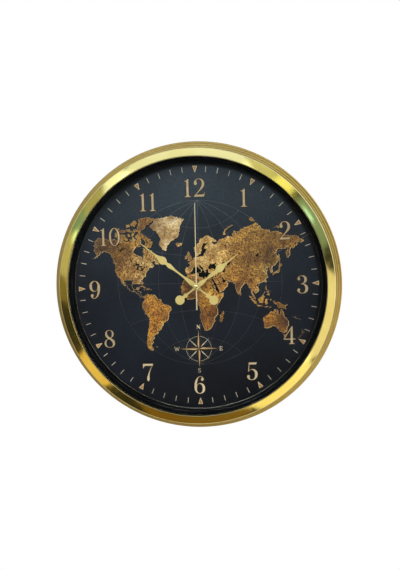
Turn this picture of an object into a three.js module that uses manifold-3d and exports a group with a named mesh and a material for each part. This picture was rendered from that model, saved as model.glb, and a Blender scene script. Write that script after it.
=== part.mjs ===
// Wall clock with a world map dial: stepped metal case, flat glass, black inner ring, printed
// dial, three hands and a battery quartz movement with its whole gear train.
// Millimetres. X is the viewer's right, Z is up and Y runs into the wall, so the face looks to -Y.
// The wall is the plane y = 0, and the origin is the point where the nail carries the clock.
import * as THREE from 'three';
import { mergeVertices } from 'three/addons/utils/BufferGeometryUtils.js';
import Module from 'manifold-3d';

const wasm = await Module();
wasm.setup();

// Fits
const seat = 0.3;
const run = 0.15;

// Case: a spun metal ring with a stepped shoulder and a polished front band
const caseRadius = 150;
const caseDepth = 46;
const sheet = 1;
const wallDraft = 1.4;
const bandWidth = 9.6;
const shoulderWidth = 8.2;
const shoulderSteps = 3;
const noseRadius = 1.2;
const firstNose = 1.5;
const bandSetback = 1.5;
const lipReturn = 2.1;
const bandOuter = caseRadius - shoulderWidth;
const bandInner = bandOuter - bandWidth;

// Glass, inner ring and dial
const glassThickness = 2.5;
const glassOverlap = 4.3;
const dialRecess = 22;
const dialThickness = 0.8;
const dialMargin = 4.2;
const ringDraft = 0.9;
const ringLedge = 1;
const ringLedgeRise = 6;
const ringFootInset = 2.9;
const ringFlange = 2;

// Back cover and what holds it
const coverThickness = 2.4;
const spigotDepth = 3.6;
const ribThickness = 2;
const screwCount = 6;
const screwRadius = 1.15;
const screwHead = 3.3;
const screwHeadHeight = 1.2;
const screwLength = 11;
const bossRadius = 3.8;
const hookLength = 10;

// Hanger: a keyhole plate behind a window in the cover
const hangerInset = 46;
const hangerRise = caseRadius - hangerInset;
const hangerWidth = 46;
const hangerHeight = 31;
const hangerThickness = 1.2;
const keyholeRadius = 5;
const slotRadius = 2.6;
const slotRise = 9;
const windowMargin = 3;
const hangerScrewRadius = 1;
const hangerScrewHead = 2.4;

// Movement: gear train by tooth counts and centre distances
const rotorLeaves = 6;
const fifthTeeth = 36;
const fifthLeaves = 6;
const secondsTeeth = 30;
const secondsLeaves = 6;
const thirdTeeth = 45;
const thirdLeaves = 6;
const centreTeeth = 48;
const cannonLeaves = 8;
const motionTeeth = 24;
const motionLeaves = 8;
const hourTeeth = 32;
const rotorDistance = 8.4;
const fifthDistance = 10.8;
const thirdDistance = 12.24;
const motionDistance = 13.44;
const fifthBearing = THREE.MathUtils.degToRad(80);
const rotorBearing = THREE.MathUtils.degToRad(100);
const thirdBearing = THREE.MathUtils.degToRad(160);
const motionBearing = 0;
const wheelThickness = 1;
const wheelGap = 0.9;
const moveWall = 1.2;
const bridgeThickness = 0.8;
const lidThickness = 1.2;
const pivotRadius = 0.45;
const arborRadius = 0.7;
const minutePipe = 1.7;
const hourPipe = 2.5;
const bushRadius = 3.9;
const stemRadius = 1.5;
const knobRadius = 5.5;
const knobThickness = 2.6;

// Cell, coil and circuit
const cellRadius = 7.25;
const cellLength = 49.2;
const cellNub = 1.3;
const contactThickness = 0.4;
const coilRadius = 3.2;
const coilLength = 16;
const coreWidth = 2.6;
const coreThickness = 0.8;
const magnetRadius = 2.9;
const stripWidth = 3.4;
const tabWidth = 3.3;
const canRadius = 1;
const canLength = 6.2;
const canDrop = 6;
const chipRadius = 2.8;
const chipHeight = 1.2;

// Hands: heights in front of the dial, reach from the axis and angles clockwise from twelve
const bladeThickness = 0.5;
const hourHeight = 5.5;
const minuteHeight = 8.5;
const secondHeight = 11.3;
const capTop = 14;
const capRadius = 3.5;
const bossDisc = 4.3;
const hourReach = 55;
const minuteReach = 74;
const secondReach = 86;
const hourBulb = 31.3;
const minuteBulb = 44.3;
const bulbHalf = 3.9;
const tailReach = 22.6;
const tailRadius = 4.8;
const secondTail = 23.7;
const shoulderDrop = 8.2;
const neckDrop = 4.8;
const waistDrop = 13.7;
const pointRise = 11;
const hourTurn = THREE.MathUtils.degToRad(52.7);
const minuteTurn = THREE.MathUtils.degToRad(309);
const secondTurn = THREE.MathUtils.degToRad(0.4);

// Planes along the depth
const lipFront = -caseDepth;
const dialFront = lipFront + dialRecess;
const dialBack = dialFront + dialThickness;
const lipEnd = lipFront + lipReturn;
const glassFront = lipEnd + seat;
const glassBack = glassFront + glassThickness;
const ringTop = glassBack + seat;
const ringFoot = dialFront - seat;
const coverFront = -coverThickness;
const caseRear = coverFront - seat;
const moveFront = dialBack + seat;
const hourLevel = moveFront + moveWall + 0.6;
const motionLevel = hourLevel + wheelThickness + wheelGap;
const centreLevel = motionLevel + wheelThickness + wheelGap;
const thirdLevel = centreLevel + wheelThickness + wheelGap;
const bridgeLevel = thirdLevel + wheelThickness + 0.7;
const plateLevel = bridgeLevel + bridgeThickness + seat;
const secondsLevel = plateLevel + 0.2;
const fifthLevel = secondsLevel + wheelThickness + 0.5;
const lidLevel = fifthLevel + wheelThickness + 2.3;
const moveRear = lidLevel + lidThickness;
const bossLevel = lidLevel - 1.7;

// Radii that follow from the case
const dialEdge = bandInner - ringFootInset;
const dialRadius = dialEdge + dialMargin;
const glassRadius = bandInner + glassOverlap;
const rearRadius = caseRadius - wallDraft;
const screwCircle = dialRadius + bossRadius + 1.5;
const ribOuter = dialEdge - 0.3;
const nailRise = hangerRise + slotRise + slotRadius;

// Closed body of a geometry, for joining and cutting
function solid(geometry) {
  const bare = new THREE.BufferGeometry();
  bare.setAttribute('position', geometry.getAttribute('position').clone());
  bare.setIndex(geometry.getIndex());
  const welded = mergeVertices(bare, 1e-4);
  const index = welded.getIndex().array;
  const corners = [];
  for (let i = 0; i < index.length; i += 3) {
    const [a, b, c] = index.subarray(i, i + 3);
    if (a !== b && b !== c && c !== a) corners.push(a, b, c);
  }
  return new wasm.Manifold(new wasm.Mesh({
    numProp: 3,
    vertProperties: new Float32Array(welded.getAttribute('position').array),
    triVerts: new Uint32Array(corners),
  }));
}

function join(...pieces) {
  return pieces.reduce((whole, piece) => whole.add(piece));
}

function cut(body, ...tools) {
  return tools.reduce((rest, tool) => rest.subtract(tool), body);
}

// Turned body about the Y axis from [radius, y] points
function turned(points, segments) {
  const rim = points.map(([r, y]) => new THREE.Vector2(r, y));
  if (THREE.ShapeUtils.area(rim) < 0) rim.reverse();
  if (rim.every((p) => p.x > 0)) {
    rim.push(rim[0].clone());
  } else {
    while (rim[0].x > 0 || rim[rim.length - 1].x > 0) rim.push(rim.shift());
  }
  return solid(new THREE.LatheGeometry(rim, segments));
}

function rod(radius, from, to, segments = 16) {
  return turned([[0, from], [radius, from], [radius, to], [0, to]], segments);
}

// Flat body with the outline as seen from the front, between two depths
function plate(shape, from, to, curveSegments = 6) {
  const depth = to - from;
  const geometry = new THREE.ExtrudeGeometry(shape, { depth, bevelEnabled: false, curveSegments });
  return solid(geometry.rotateX(Math.PI / 2).translate(0, to, 0));
}

function box(x0, x1, y0, y1, z0, z1) {
  const geometry = new THREE.BoxGeometry(x1 - x0, y1 - y0, z1 - z0);
  return solid(geometry.translate((x0 + x1) / 2, (y0 + y1) / 2, (z0 + z1) / 2));
}

function outline(points) {
  return new THREE.Shape(points.map(([x, z]) => new THREE.Vector2(x, z)));
}

function at(body, [x, z]) {
  return body.translate([x, 0, z]);
}

function polar([x, z], distance, bearing) {
  return [x + distance * Math.cos(bearing), z + distance * Math.sin(bearing)];
}

// Finished mesh of a body
const clock = new THREE.Group();
clock.name = 'world_map_wall_clock';
const finishes = new Map();
function finish(name, color, metalness, roughness) {
  finishes.set(name, new THREE.MeshStandardMaterial({ name, color, metalness, roughness }));
}
finish('gold_plate', 0xc9a24a, 1, 0.2);
finish('clear_glass', 0xdfe8ea, 0, 0.05);
finish('black_gloss', 0x0c0c0e, 0, 0.25);
finish('dial_navy', 0x1d2530, 0, 0.5);
finish('black_plastic', 0x16161a, 0, 0.6);
finish('grey_plastic', 0x35383d, 0, 0.6);
finish('white_plastic', 0xe9e6dd, 0, 0.5);
finish('pale_gold', 0xcdbb78, 1, 0.35);
finish('steel', 0xa9abad, 1, 0.35);
finish('copper', 0xb0632f, 1, 0.4);
finish('board_green', 0x2f5a35, 0, 0.6);
finish('cell_jacket', 0x2b3f6b, 0, 0.4);

function place(name, body, material) {
  const { vertProperties, triVerts } = body.getMesh();
  const geometry = new THREE.BufferGeometry();
  geometry.setAttribute('position', new THREE.BufferAttribute(new Float32Array(vertProperties), 3));
  geometry.setIndex(new THREE.BufferAttribute(new Uint32Array(triVerts), 1));
  geometry.computeVertexNormals();
  const mesh = new THREE.Mesh(geometry, finishes.get(material));
  mesh.name = name;
  clock.add(mesh);
}

// Metal case: the outside climbs from the wall over the shoulder steps to the crowned band and
// turns in at the lip, and the inside follows it one sheet thickness away.
const ringSegments = 40;
const bandEdge = lipFront + bandSetback;
const noseDepth = dialFront - firstNose;
const stepWidth = shoulderWidth / shoulderSteps;
const stepHeight = (noseDepth - bandEdge) / shoulderSteps;
const skin = new THREE.Path();
const lining = [[rearRadius - sheet, caseRear]];
skin.moveTo(rearRadius, caseRear);
for (let step = 0; step < shoulderSteps; step++) {
  const radius = caseRadius - step * stepWidth;
  const nose = noseDepth - step * stepHeight;
  skin.lineTo(radius, nose + noseRadius);
  skin.quadraticCurveTo(radius, nose, radius - noseRadius, nose);
  skin.lineTo(radius - stepWidth, nose);
  lining.push([radius - sheet, nose + sheet], [radius - stepWidth - sheet, nose + sheet]);
}
skin.lineTo(bandOuter, bandEdge + noseRadius);
skin.quadraticCurveTo(bandOuter, bandEdge, bandOuter - noseRadius, bandEdge - 0.2);
skin.quadraticCurveTo((bandOuter + bandInner) / 2, lipFront - 0.1, bandInner + noseRadius, lipFront);
skin.quadraticCurveTo(bandInner, lipFront, bandInner, lipFront + noseRadius);
skin.lineTo(bandInner, lipEnd);
lining.push([bandOuter - sheet, bandEdge + sheet], [bandInner + sheet, lipFront + sheet]);
lining.push([bandInner + sheet, lipEnd]);
const skinPoints = skin.getPoints(2).map((p) => [p.x, p.y]);
place('bezel_case', turned([...skinPoints, ...lining.reverse()], ringSegments), 'gold_plate');

// Flat glass under the lip
place('glass_lens', turned([
  [0, glassFront],
  [glassRadius, glassFront],
  [glassRadius, glassBack],
  [0, glassBack],
], ringSegments), 'clear_glass');

// Black inner ring: a tapered wall with one ledge, a flange under the glass that centres it in
// the case and a foot flange on the dial that carries the screw bosses.
const ringInner = bandInner + 0.7;
const ringOuter = bandOuter - sheet - 0.5;
const ledge = dialFront - ringLedgeRise;
const ledgeRadius = ringInner - ringDraft;
const footFlange = screwCircle + bossRadius;
const ringWall = turned([
  [ringInner, ringTop],
  [ledgeRadius, ledge - 0.2],
  [ledgeRadius - ringLedge, ledge],
  [dialEdge + 0.7, ringFoot - 0.9],
  [dialEdge, ringFoot - 0.6],
  [dialEdge, ringFoot],
  [footFlange, ringFoot],
  [footFlange, ringFoot - ringFlange],
  [dialRadius + 0.7, ringFoot - ringFlange],
  [ringInner + 2.3, ringTop + ringFlange],
  [ringOuter, ringTop + ringFlange],
  [ringOuter, ringTop],
], ringSegments);
const screwSpots = [];
for (let i = 0; i < screwCount; i++) {
  screwSpots.push(polar([0, 0], screwCircle, (2 * i + 1) * Math.PI / screwCount));
}
const bossEnd = coverFront - seat;
const pilotEnd = coverFront - screwLength - 1;
const bosses = screwSpots.map((spot) => at(rod(bossRadius, ringFoot - 0.5, bossEnd, 12), spot));
const pilots = screwSpots.map((spot) => at(rod(screwRadius + run, pilotEnd, bossEnd + 1, 8), spot));
place('inner_ring', cut(join(ringWall, ...bosses), ...pilots), 'black_gloss');

// Printed dial sheet
const dialHole = bushRadius + seat;
place('dial_plate', turned([
  [dialHole, dialFront],
  [dialRadius, dialFront],
  [dialRadius, dialBack],
  [dialHole, dialBack],
], ringSegments), 'dial_navy');

// Positions of the train, and the box that the train and the cell set
const main = [0, 0];
const fifth = polar(main, fifthDistance, fifthBearing);
const rotor = polar(fifth, rotorDistance, rotorBearing);
const third = polar(main, thirdDistance, thirdBearing);
const motion = polar(main, motionDistance, motionBearing);
const centreRadius = thirdDistance * centreTeeth / (centreTeeth + thirdLeaves);
const cellWall = 0.6;
const trainFloor = -centreRadius - 1;
const bayTop = trainFloor - cellWall;
const cellRise = bayTop - 0.25 - cellRadius;
const bayFloor = cellRise - cellRadius - 0.25;
const boxBottom = bayFloor - moveWall;
const bayHalf = (cellLength + cellNub) / 2 + 4 * contactThickness;
const boxHalf = bayHalf + moveWall;
const boxInnerTop = rotor[1] + magnetRadius + stripWidth + 1.3;
const boxTop = boxInnerTop + moveWall;
const cellDepth = moveFront + moveWall + seat + cellRadius;

// Back cover: panel, spigot inside the case, rib behind the dial edge, and a pocket whose two
// hooks hold the movement.
const panelRadius = rearRadius - 0.2;
const spigotOuter = rearRadius - sheet - 0.4;
const spigotEnd = coverFront - spigotDepth;
const ribEnd = dialBack + seat;
const panel = turned([
  [0, 0],
  [panelRadius, 0],
  [panelRadius, coverFront],
  [spigotOuter, coverFront],
  [spigotOuter, spigotEnd],
  [spigotOuter - ribThickness, spigotEnd],
  [spigotOuter - ribThickness, coverFront],
  [ribOuter, coverFront],
  [ribOuter, ribEnd],
  [ribOuter - ribThickness, ribEnd],
  [ribOuter - ribThickness, coverFront],
  [0, coverFront],
], ringSegments);
const pocketHalf = boxHalf + seat;
const pocketTop = boxTop + seat;
const pocketBottom = boxBottom - seat;
const pocketEnd = moveFront + 2;
const pocket = box(
  -pocketHalf - ribThickness, pocketHalf + ribThickness,
  pocketEnd, coverFront + 0.5,
  pocketBottom - ribThickness, pocketTop + ribThickness,
);
const pocketVoid = box(-pocketHalf, pocketHalf, pocketEnd - 1, 1, pocketBottom, pocketTop);
const hookRise = boxTop / 2;
const hookBack = Math.min(moveRear + seat + 1.6, -0.2);
const hookShape = (side) => box(
  ...[side * (pocketHalf - 1.2), side * (pocketHalf + 0.5)].sort((a, b) => a - b),
  moveRear + seat, hookBack,
  hookRise - hookLength / 2, hookRise + hookLength / 2,
);
const window = box(
  -keyholeRadius - windowMargin, keyholeRadius + windowMargin,
  coverFront - 1, 1,
  hangerRise - keyholeRadius - windowMargin, nailRise + windowMargin,
);
const headDepth = screwHeadHeight + 0.3;
const screwHoles = screwSpots.flatMap((spot) => [
  at(rod(screwRadius + 0.5, coverFront - 1, 1, 8), spot),
  at(rod(screwHead + seat, -headDepth, 1, 12), spot),
]);
const hangerMiddle = (hangerRise - keyholeRadius + nailRise) / 2;
const hangerScrewReach = hangerWidth / 2 - hangerScrewHead - 2;
const hangerSpots = [-1, 1].map((side) => [side * hangerScrewReach, hangerMiddle]);
const hangerHoles = hangerSpots.flatMap((spot) => [
  at(rod(hangerScrewRadius + seat, coverFront - 1, 1, 8), spot),
  at(rod(hangerScrewHead + seat, -headDepth, 1, 12), spot),
]);
const shell = cut(join(panel, pocket), pocketVoid, window, ...screwHoles, ...hangerHoles);
place('back_cover', join(shell, hookShape(-1), hookShape(1)), 'black_plastic');

// Screws: a low domed head and a plain shank, drawn from the rear
function screw(radius, head, length) {
  const top = -0.2;
  const under = top - screwHeadHeight;
  return turned([
    [0, top],
    [head * 0.6, top - 0.15],
    [head, under + 0.4],
    [head, under],
    [radius, under],
    [radius, coverFront - length + radius],
    [0, coverFront - length],
  ], 8);
}
screwSpots.forEach((spot, i) => {
  place(`cover_screw_${i + 1}`, at(screw(screwRadius, screwHead, screwLength), spot), 'steel');
});
const hangerFront = coverFront - seat - hangerThickness;
const hangerScrewLength = seat + hangerThickness + 2;
hangerSpots.forEach((spot, i) => {
  const body = screw(hangerScrewRadius, hangerScrewHead, hangerScrewLength);
  place(`hanger_screw_${i + 1}`, at(body, spot), 'steel');
});

// Hanger plate with its keyhole: round below for the nail head, a slot above for the shank
const hangerShape = outline([
  [-hangerWidth / 2, hangerMiddle - hangerHeight / 2],
  [hangerWidth / 2, hangerMiddle - hangerHeight / 2],
  [hangerWidth / 2, hangerMiddle + hangerHeight / 2],
  [-hangerWidth / 2, hangerMiddle + hangerHeight / 2],
]);
const throat = Math.asin(slotRadius / keyholeRadius);
const keyhole = new THREE.Path();
keyhole.absarc(0, hangerRise, keyholeRadius, Math.PI / 2 + throat, Math.PI / 2 - throat + 2 * Math.PI, false);
keyhole.absarc(0, hangerRise + slotRise, slotRadius, 0, Math.PI, false);
keyhole.closePath();
hangerShape.holes.push(keyhole);
for (const [x, z] of hangerSpots) {
  const hole = new THREE.Path();
  hole.absarc(x, z, hangerScrewRadius + run, 0, 2 * Math.PI, false);
  hangerShape.holes.push(hole);
}
place('hanger_plate', plate(hangerShape, hangerFront, coverFront - seat, 8), 'steel');

// Movement case: a tub with the shaft bush in front, a cell bay below and posts for the bridge
const stripSlot = 1.8;
const bridgeLeft = -bayHalf + stripSlot;
const coilRise = (trainFloor + boxInnerTop) / 2 + 3;
const coilAcross = bayHalf - coilRadius - 0.9;
const bridgeRight = coilAcross - coilRadius - 0.7;
const bridgeBottom = trainFloor + 0.4;
const bridgeTop = boxInnerTop - 0.4;
const postRadius = 1.2;
const bushEnd = dialFront - 2.6;
const tub = cut(
  join(
    box(-boxHalf, boxHalf, moveFront, moveRear, boxBottom, boxTop),
    rod(bushRadius, bushEnd, moveFront + 0.5, 24),
  ),
  box(-bayHalf, bayHalf, moveFront + moveWall, moveRear + 1, trainFloor, boxInnerTop),
  box(-bayHalf, bayHalf, moveFront + moveWall, moveRear + 1, bayFloor, bayTop),
  box(-boxHalf - 1, boxHalf + 1, lidLevel - seat, moveRear + 1, trainFloor, boxTop + 1),
  box(-bayHalf, -bayHalf + stripSlot, moveFront + moveWall, moveRear + 1, bayTop - 1, trainFloor + 1),
  box(bayHalf - stripSlot, bayHalf, moveFront + moveWall, moveRear + 1, bayTop - 1, trainFloor + 1),
  rod(hourPipe + run, bushEnd - 1, moveFront + moveWall + 1, 24),
  at(rod(pivotRadius + run, moveFront + 0.5, moveFront + moveWall + 1, 10), third),
  at(rod(stemRadius + run, moveFront + 0.5, moveFront + moveWall + 1, 12), motion),
);
const postSpots = [
  [bridgeLeft + postRadius + 0.6, bridgeBottom + postRadius + 0.6],
  [bridgeLeft + postRadius + 0.6, bridgeTop - postRadius - 0.6],
  [bridgeRight - postRadius - 0.6, bridgeTop - postRadius - 0.6],
  [bridgeRight - postRadius - 0.6, motion[1] + motionDistance + 0.2],
];
const posts = postSpots.map((spot) => {
  return at(rod(postRadius, moveFront + moveWall - 0.5, bridgeLevel - seat, 10), spot);
});
place('movement_case', join(tub, ...posts), 'grey_plastic');

// Movement lid over the train, with the rear bearings
const bearings = [main, fifth, rotor];
const lidPlate = box(-boxHalf, boxHalf, lidLevel, moveRear, trainFloor + seat, boxTop);
const lidBosses = bearings.map((spot) => at(rod(1.6, bossLevel, lidLevel + 0.5, 12), spot));
const lidBores = bearings.map((spot) => at(rod(pivotRadius + run, bossLevel - 1, moveRear - 0.4, 10), spot));
const stemHole = at(rod(stemRadius + run, lidLevel - 1, moveRear + 1, 12), motion);
place('movement_lid', cut(join(lidPlate, ...lidBosses), ...lidBores, stemHole), 'grey_plastic');

// Train bridge between the slow and the quick wheels
const bridgePlate = box(
  bridgeLeft, bridgeRight,
  bridgeLevel, bridgeLevel + bridgeThickness,
  bridgeBottom, bridgeTop,
);
function bridgeHole(spot, radius, segments) {
  return at(rod(radius, bridgeLevel - 1, bridgeLevel + bridgeThickness + 1, segments), spot);
}
place('train_bridge', cut(
  bridgePlate,
  bridgeHole(main, 2.4, 16),
  bridgeHole(motion, stemRadius + seat, 12),
  bridgeHole(third, pivotRadius + run, 10),
  bridgeHole(fifth, pivotRadius + run, 10),
  bridgeHole(rotor, pivotRadius + run, 10),
), 'white_plastic');

// Toothed discs. Each tooth is given by rises in modules and spreads in tooth pitches.
const wheelTooth = [[-1.1, -0.27], [1, -0.09], [1, 0.09], [-1.1, 0.27]];
const leafTooth = [[-1.3, -0.17], [0.1, -0.17], [0.85, 0], [0.1, 0.17], [-1.3, 0.17]];
function toothed(teeth, module, tooth, phase, from, to) {
  const pitch = 2 * Math.PI / teeth;
  const points = [];
  for (let k = 0; k < teeth; k++) {
    for (const [rise, spread] of tooth) {
      points.push(polar([0, 0], teeth * module / 2 + rise * module, phase + (k + spread) * pitch));
    }
  }
  return plate(outline(points), from, to);
}

// Phase of the second gear so that its gap takes the first gear's tooth on the line of centres
function meshPhase(first, firstPhase, second, bearing) {
  return bearing + Math.PI - (first / second) * (firstPhase - bearing) + Math.PI / second;
}
const rotorModule = 2 * rotorDistance / (rotorLeaves + fifthTeeth);
const fifthModule = 2 * fifthDistance / (fifthLeaves + secondsTeeth);
const secondsModule = 2 * thirdDistance / (secondsLeaves + thirdTeeth);
const thirdModule = 2 * thirdDistance / (thirdLeaves + centreTeeth);
const cannonModule = 2 * motionDistance / (cannonLeaves + motionTeeth);
const motionModule = 2 * motionDistance / (motionLeaves + hourTeeth);
const fifthPhase = meshPhase(rotorLeaves, 0, fifthTeeth, rotorBearing + Math.PI);
const secondsPhase = meshPhase(fifthLeaves, 0, secondsTeeth, fifthBearing + Math.PI);
const thirdPhase = meshPhase(secondsLeaves, 0, thirdTeeth, thirdBearing);
const centrePhase = meshPhase(thirdLeaves, 0, centreTeeth, thirdBearing + Math.PI);
const motionPhase = meshPhase(cannonLeaves, 0, motionTeeth, motionBearing);
const hourPhase = meshPhase(motionLeaves, 0, hourTeeth, motionBearing + Math.PI);
const leafSpill = 0.3;
function wheel(teeth, module, phase, level) {
  return toothed(teeth, module, wheelTooth, phase, level, level + wheelThickness);
}
function pinion(leaves, module, level) {
  return toothed(leaves, module, leafTooth, 0, level - leafSpill, level + wheelThickness + leafSpill);
}

// Rotor: pinion on its shaft, with the round magnet in the stator's eye
const pivotEnd = bossLevel + 1.2;
const rotorShaft = rod(pivotRadius, bridgeLevel + 0.1, pivotEnd, 10);
const rotorGear = pinion(rotorLeaves, rotorModule, fifthLevel);
place('rotor_pinion', at(join(rotorShaft, rotorGear), rotor), 'white_plastic');
place('rotor_magnet', at(turned([
  [pivotRadius + run, plateLevel],
  [magnetRadius, plateLevel],
  [magnetRadius, secondsLevel + wheelThickness - 0.1],
  [pivotRadius + run, secondsLevel + wheelThickness - 0.1],
], 20), rotor), 'steel');

// Fifth wheel and pinion
place('fifth_wheel', at(join(
  rod(pivotRadius, bridgeLevel + 0.1, pivotEnd, 10),
  wheel(fifthTeeth, rotorModule, fifthPhase, fifthLevel),
  pinion(fifthLeaves, fifthModule, secondsLevel),
), fifth), 'white_plastic');

// Seconds wheel, its pinion and the long arbor that carries the second hand
const arborEnd = dialFront - capTop + 0.9;
place('seconds_wheel', join(
  rod(arborRadius, arborEnd, secondsLevel + 0.5, 12),
  rod(pivotRadius, secondsLevel, pivotEnd, 10),
  wheel(secondsTeeth, fifthModule, secondsPhase, secondsLevel),
  pinion(secondsLeaves, secondsModule, thirdLevel),
), 'white_plastic');

// Third wheel and pinion
place('third_wheel', at(join(
  rod(pivotRadius, moveFront + 0.7, bridgeLevel + bridgeThickness - 0.1, 10),
  wheel(thirdTeeth, secondsModule, thirdPhase, thirdLevel),
  pinion(thirdLeaves, thirdModule, centreLevel),
), third), 'white_plastic');

// Centre wheel, cannon pinion and minute pipe
const minuteEnd = dialFront - minuteHeight - 1.3;
place('centre_wheel', cut(
  join(
    rod(minutePipe, minuteEnd, centreLevel + 0.5, 16),
    wheel(centreTeeth, thirdModule, centrePhase, centreLevel),
    pinion(cannonLeaves, cannonModule, motionLevel),
  ),
  rod(arborRadius + run, minuteEnd - 1, centreLevel + wheelThickness + 1, 12),
), 'white_plastic');

// Motion wheel and pinion on the setting stem
place('motion_wheel', at(join(
  rod(stemRadius, moveFront + 0.7, moveRear + seat + knobThickness - 0.6, 12),
  wheel(motionTeeth, cannonModule, motionPhase, motionLevel),
  pinion(motionLeaves, motionModule, hourLevel),
), motion), 'white_plastic');
const gripTooth = [[-0.5, -0.3], [0, -0.2], [0, 0.2], [-0.5, 0.3]];
const gripCount = 12;
const gripBack = moveRear + seat + knobThickness;
const grip = toothed(gripCount, 2 * knobRadius / gripCount, gripTooth, 0, moveRear + seat, gripBack);
const knobBore = rod(stemRadius + run, moveRear, gripBack - 0.4, 12);
place('setting_knob', at(cut(grip, knobBore), motion), 'white_plastic');

// Hour wheel and pipe
const hourEnd = dialFront - hourHeight - 1.1;
place('hour_wheel', cut(
  join(
    rod(hourPipe, hourEnd, hourLevel + 0.5, 20),
    wheel(hourTeeth, motionModule, hourPhase, hourLevel),
  ),
  rod(minutePipe + run, hourEnd - 1, hourLevel + wheelThickness + 1, 16),
), 'white_plastic');

// Stator: two arms from the rotor's eye to the ends of the coil core
const armTop = rotor[1] + magnetRadius + stripWidth;
const armFoot = coilRise - coilLength / 2 - stripWidth - 1;
const legLeft = motion[0] + stemRadius + 0.6;
const legRight = bridgeRight + 0.2;
const padLeft = coilAcross - coreWidth;
const padRight = coilAcross + coreWidth;
const statorShape = outline([
  [rotor[0] - magnetRadius - 2.6, armTop],
  [padRight, armTop],
  [padRight, armTop - stripWidth],
  [rotor[0] + magnetRadius + 3, armTop - stripWidth],
  [rotor[0] + magnetRadius + 3, rotor[1] - 1.2],
  [legRight, rotor[1] - 1.2],
  [legRight, armFoot + stripWidth],
  [padRight, armFoot + stripWidth],
  [padRight, armFoot],
  [legLeft, armFoot],
  [legLeft, rotor[1] - 1.2 - stripWidth],
  [rotor[0] - magnetRadius - 2.6, rotor[1] - 1.2 - stripWidth],
]);
const eye = new THREE.Path();
eye.absarc(rotor[0], rotor[1], magnetRadius + 0.6, 0, 2 * Math.PI, false);
statorShape.holes.push(eye);
place('stator_plate', plate(statorShape, plateLevel, plateLevel + coreThickness, 10), 'steel');

// Coil: core bar across the stator pads, bobbin and winding
const coreLevel = plateLevel + coreThickness + seat;
const coilDepth = coreLevel + coreThickness / 2;
place('coil_core', box(
  coilAcross - coreWidth / 2, coilAcross + coreWidth / 2,
  coreLevel, coreLevel + coreThickness,
  armFoot + 0.4, armTop - 0.4,
), 'steel');
const spoolRadius = Math.hypot(coreWidth, coreThickness) / 2 + 0.5;
const spoolHalf = coilLength / 2;
function alongZ(body) {
  return body.rotate([90, 0, 0]).translate([coilAcross, coilDepth, coilRise]);
}
const spool = alongZ(turned([
  [0, -spoolHalf],
  [coilRadius, -spoolHalf],
  [coilRadius, -spoolHalf + 0.8],
  [spoolRadius, -spoolHalf + 0.8],
  [spoolRadius, spoolHalf - 0.8],
  [coilRadius, spoolHalf - 0.8],
  [coilRadius, spoolHalf],
  [0, spoolHalf],
], 16));
const spoolBore = box(
  coilAcross - coreWidth / 2 - 0.2, coilAcross + coreWidth / 2 + 0.2,
  coreLevel - 0.2, coreLevel + coreThickness + 0.2,
  coilRise - spoolHalf - 1, coilRise + spoolHalf + 1,
);
place('coil_bobbin', cut(spool, spoolBore), 'white_plastic');
place('coil_winding', alongZ(turned([
  [spoolRadius + run, -spoolHalf + 1],
  [coilRadius - 0.2, -spoolHalf + 1],
  [coilRadius - 0.2, spoolHalf - 1],
  [spoolRadius + run, spoolHalf - 1],
], 16)), 'copper');

// Circuit board with the crystal can and the covered chip
const boardRight = -(fifthDistance * secondsTeeth / (secondsTeeth + fifthLeaves)) - 1.8;
const boardBottom = bridgeBottom + 1.5;
const boardTop = bridgeTop - 2;
const boardBack = plateLevel + 1;
place('circuit_board', box(
  bridgeLeft + 0.3, boardRight,
  plateLevel, boardBack,
  boardBottom, boardTop,
), 'board_green');
const boardMiddle = (bridgeLeft + boardRight) / 2;
const can = rod(canRadius, -canLength / 2, canLength / 2, 12).rotate([90, 0, 0]);
place('quartz_crystal', can.translate([boardMiddle, boardBack + seat + canRadius, boardTop - canDrop]), 'steel');
place('timing_chip', at(turned([
  [0, boardBack + seat],
  [chipRadius, boardBack + seat],
  [chipRadius * 0.86, boardBack + seat + chipHeight * 0.6],
  [chipRadius * 0.5, boardBack + seat + chipHeight * 0.9],
  [0, boardBack + seat + chipHeight],
], 14), [boardMiddle, (boardTop + boardBottom) / 2 - 2]), 'black_gloss');

// Cell lying across the bay, plus end to the right
const cellHalf = (cellLength + cellNub) / 2;
const cell = turned([
  [0, -cellHalf],
  [cellRadius - 1, -cellHalf],
  [cellRadius, -cellHalf + 0.6],
  [cellRadius, cellHalf - cellNub - 0.6],
  [cellRadius - 1, cellHalf - cellNub],
  [cellRadius * 0.38, cellHalf - cellNub],
  [cellRadius * 0.38, cellHalf],
  [0, cellHalf],
], 20).rotate([0, 0, -90]);
place('battery_cell', cell.translate([0, cellDepth, cellRise]), 'cell_jacket');

// Contact strips: a leaf at each end of the cell, run up to the board
const leafFace = cellHalf + seat;
const leafBack = leafFace + contactThickness;
const leafFront = cellDepth - 2.6;
const tabLevel = boardBack + seat;
const tabEnd = tabLevel + contactThickness;
place('battery_contact_minus', join(
  box(-leafBack, -leafFace, leafFront, tabEnd, cellRise - 4, boardBottom + 3),
  box(-leafBack, -leafFace + 4, tabLevel, tabEnd, boardBottom, boardBottom + 3),
), 'steel');
const busFloor = trainFloor + seat;
const busTop = busFloor + contactThickness;
const busEnd = tabEnd + 1.4;
place('battery_contact_plus', join(
  box(leafFace, leafBack, leafFront, busEnd, cellRise - 4, busTop),
  box(boardRight - 1.5, leafBack, tabLevel, busEnd, busFloor, busTop),
  box(boardRight - 1.2 - tabWidth, boardRight - 1.2, tabLevel, tabEnd, busFloor, boardBottom + 2.4),
), 'steel');

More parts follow.
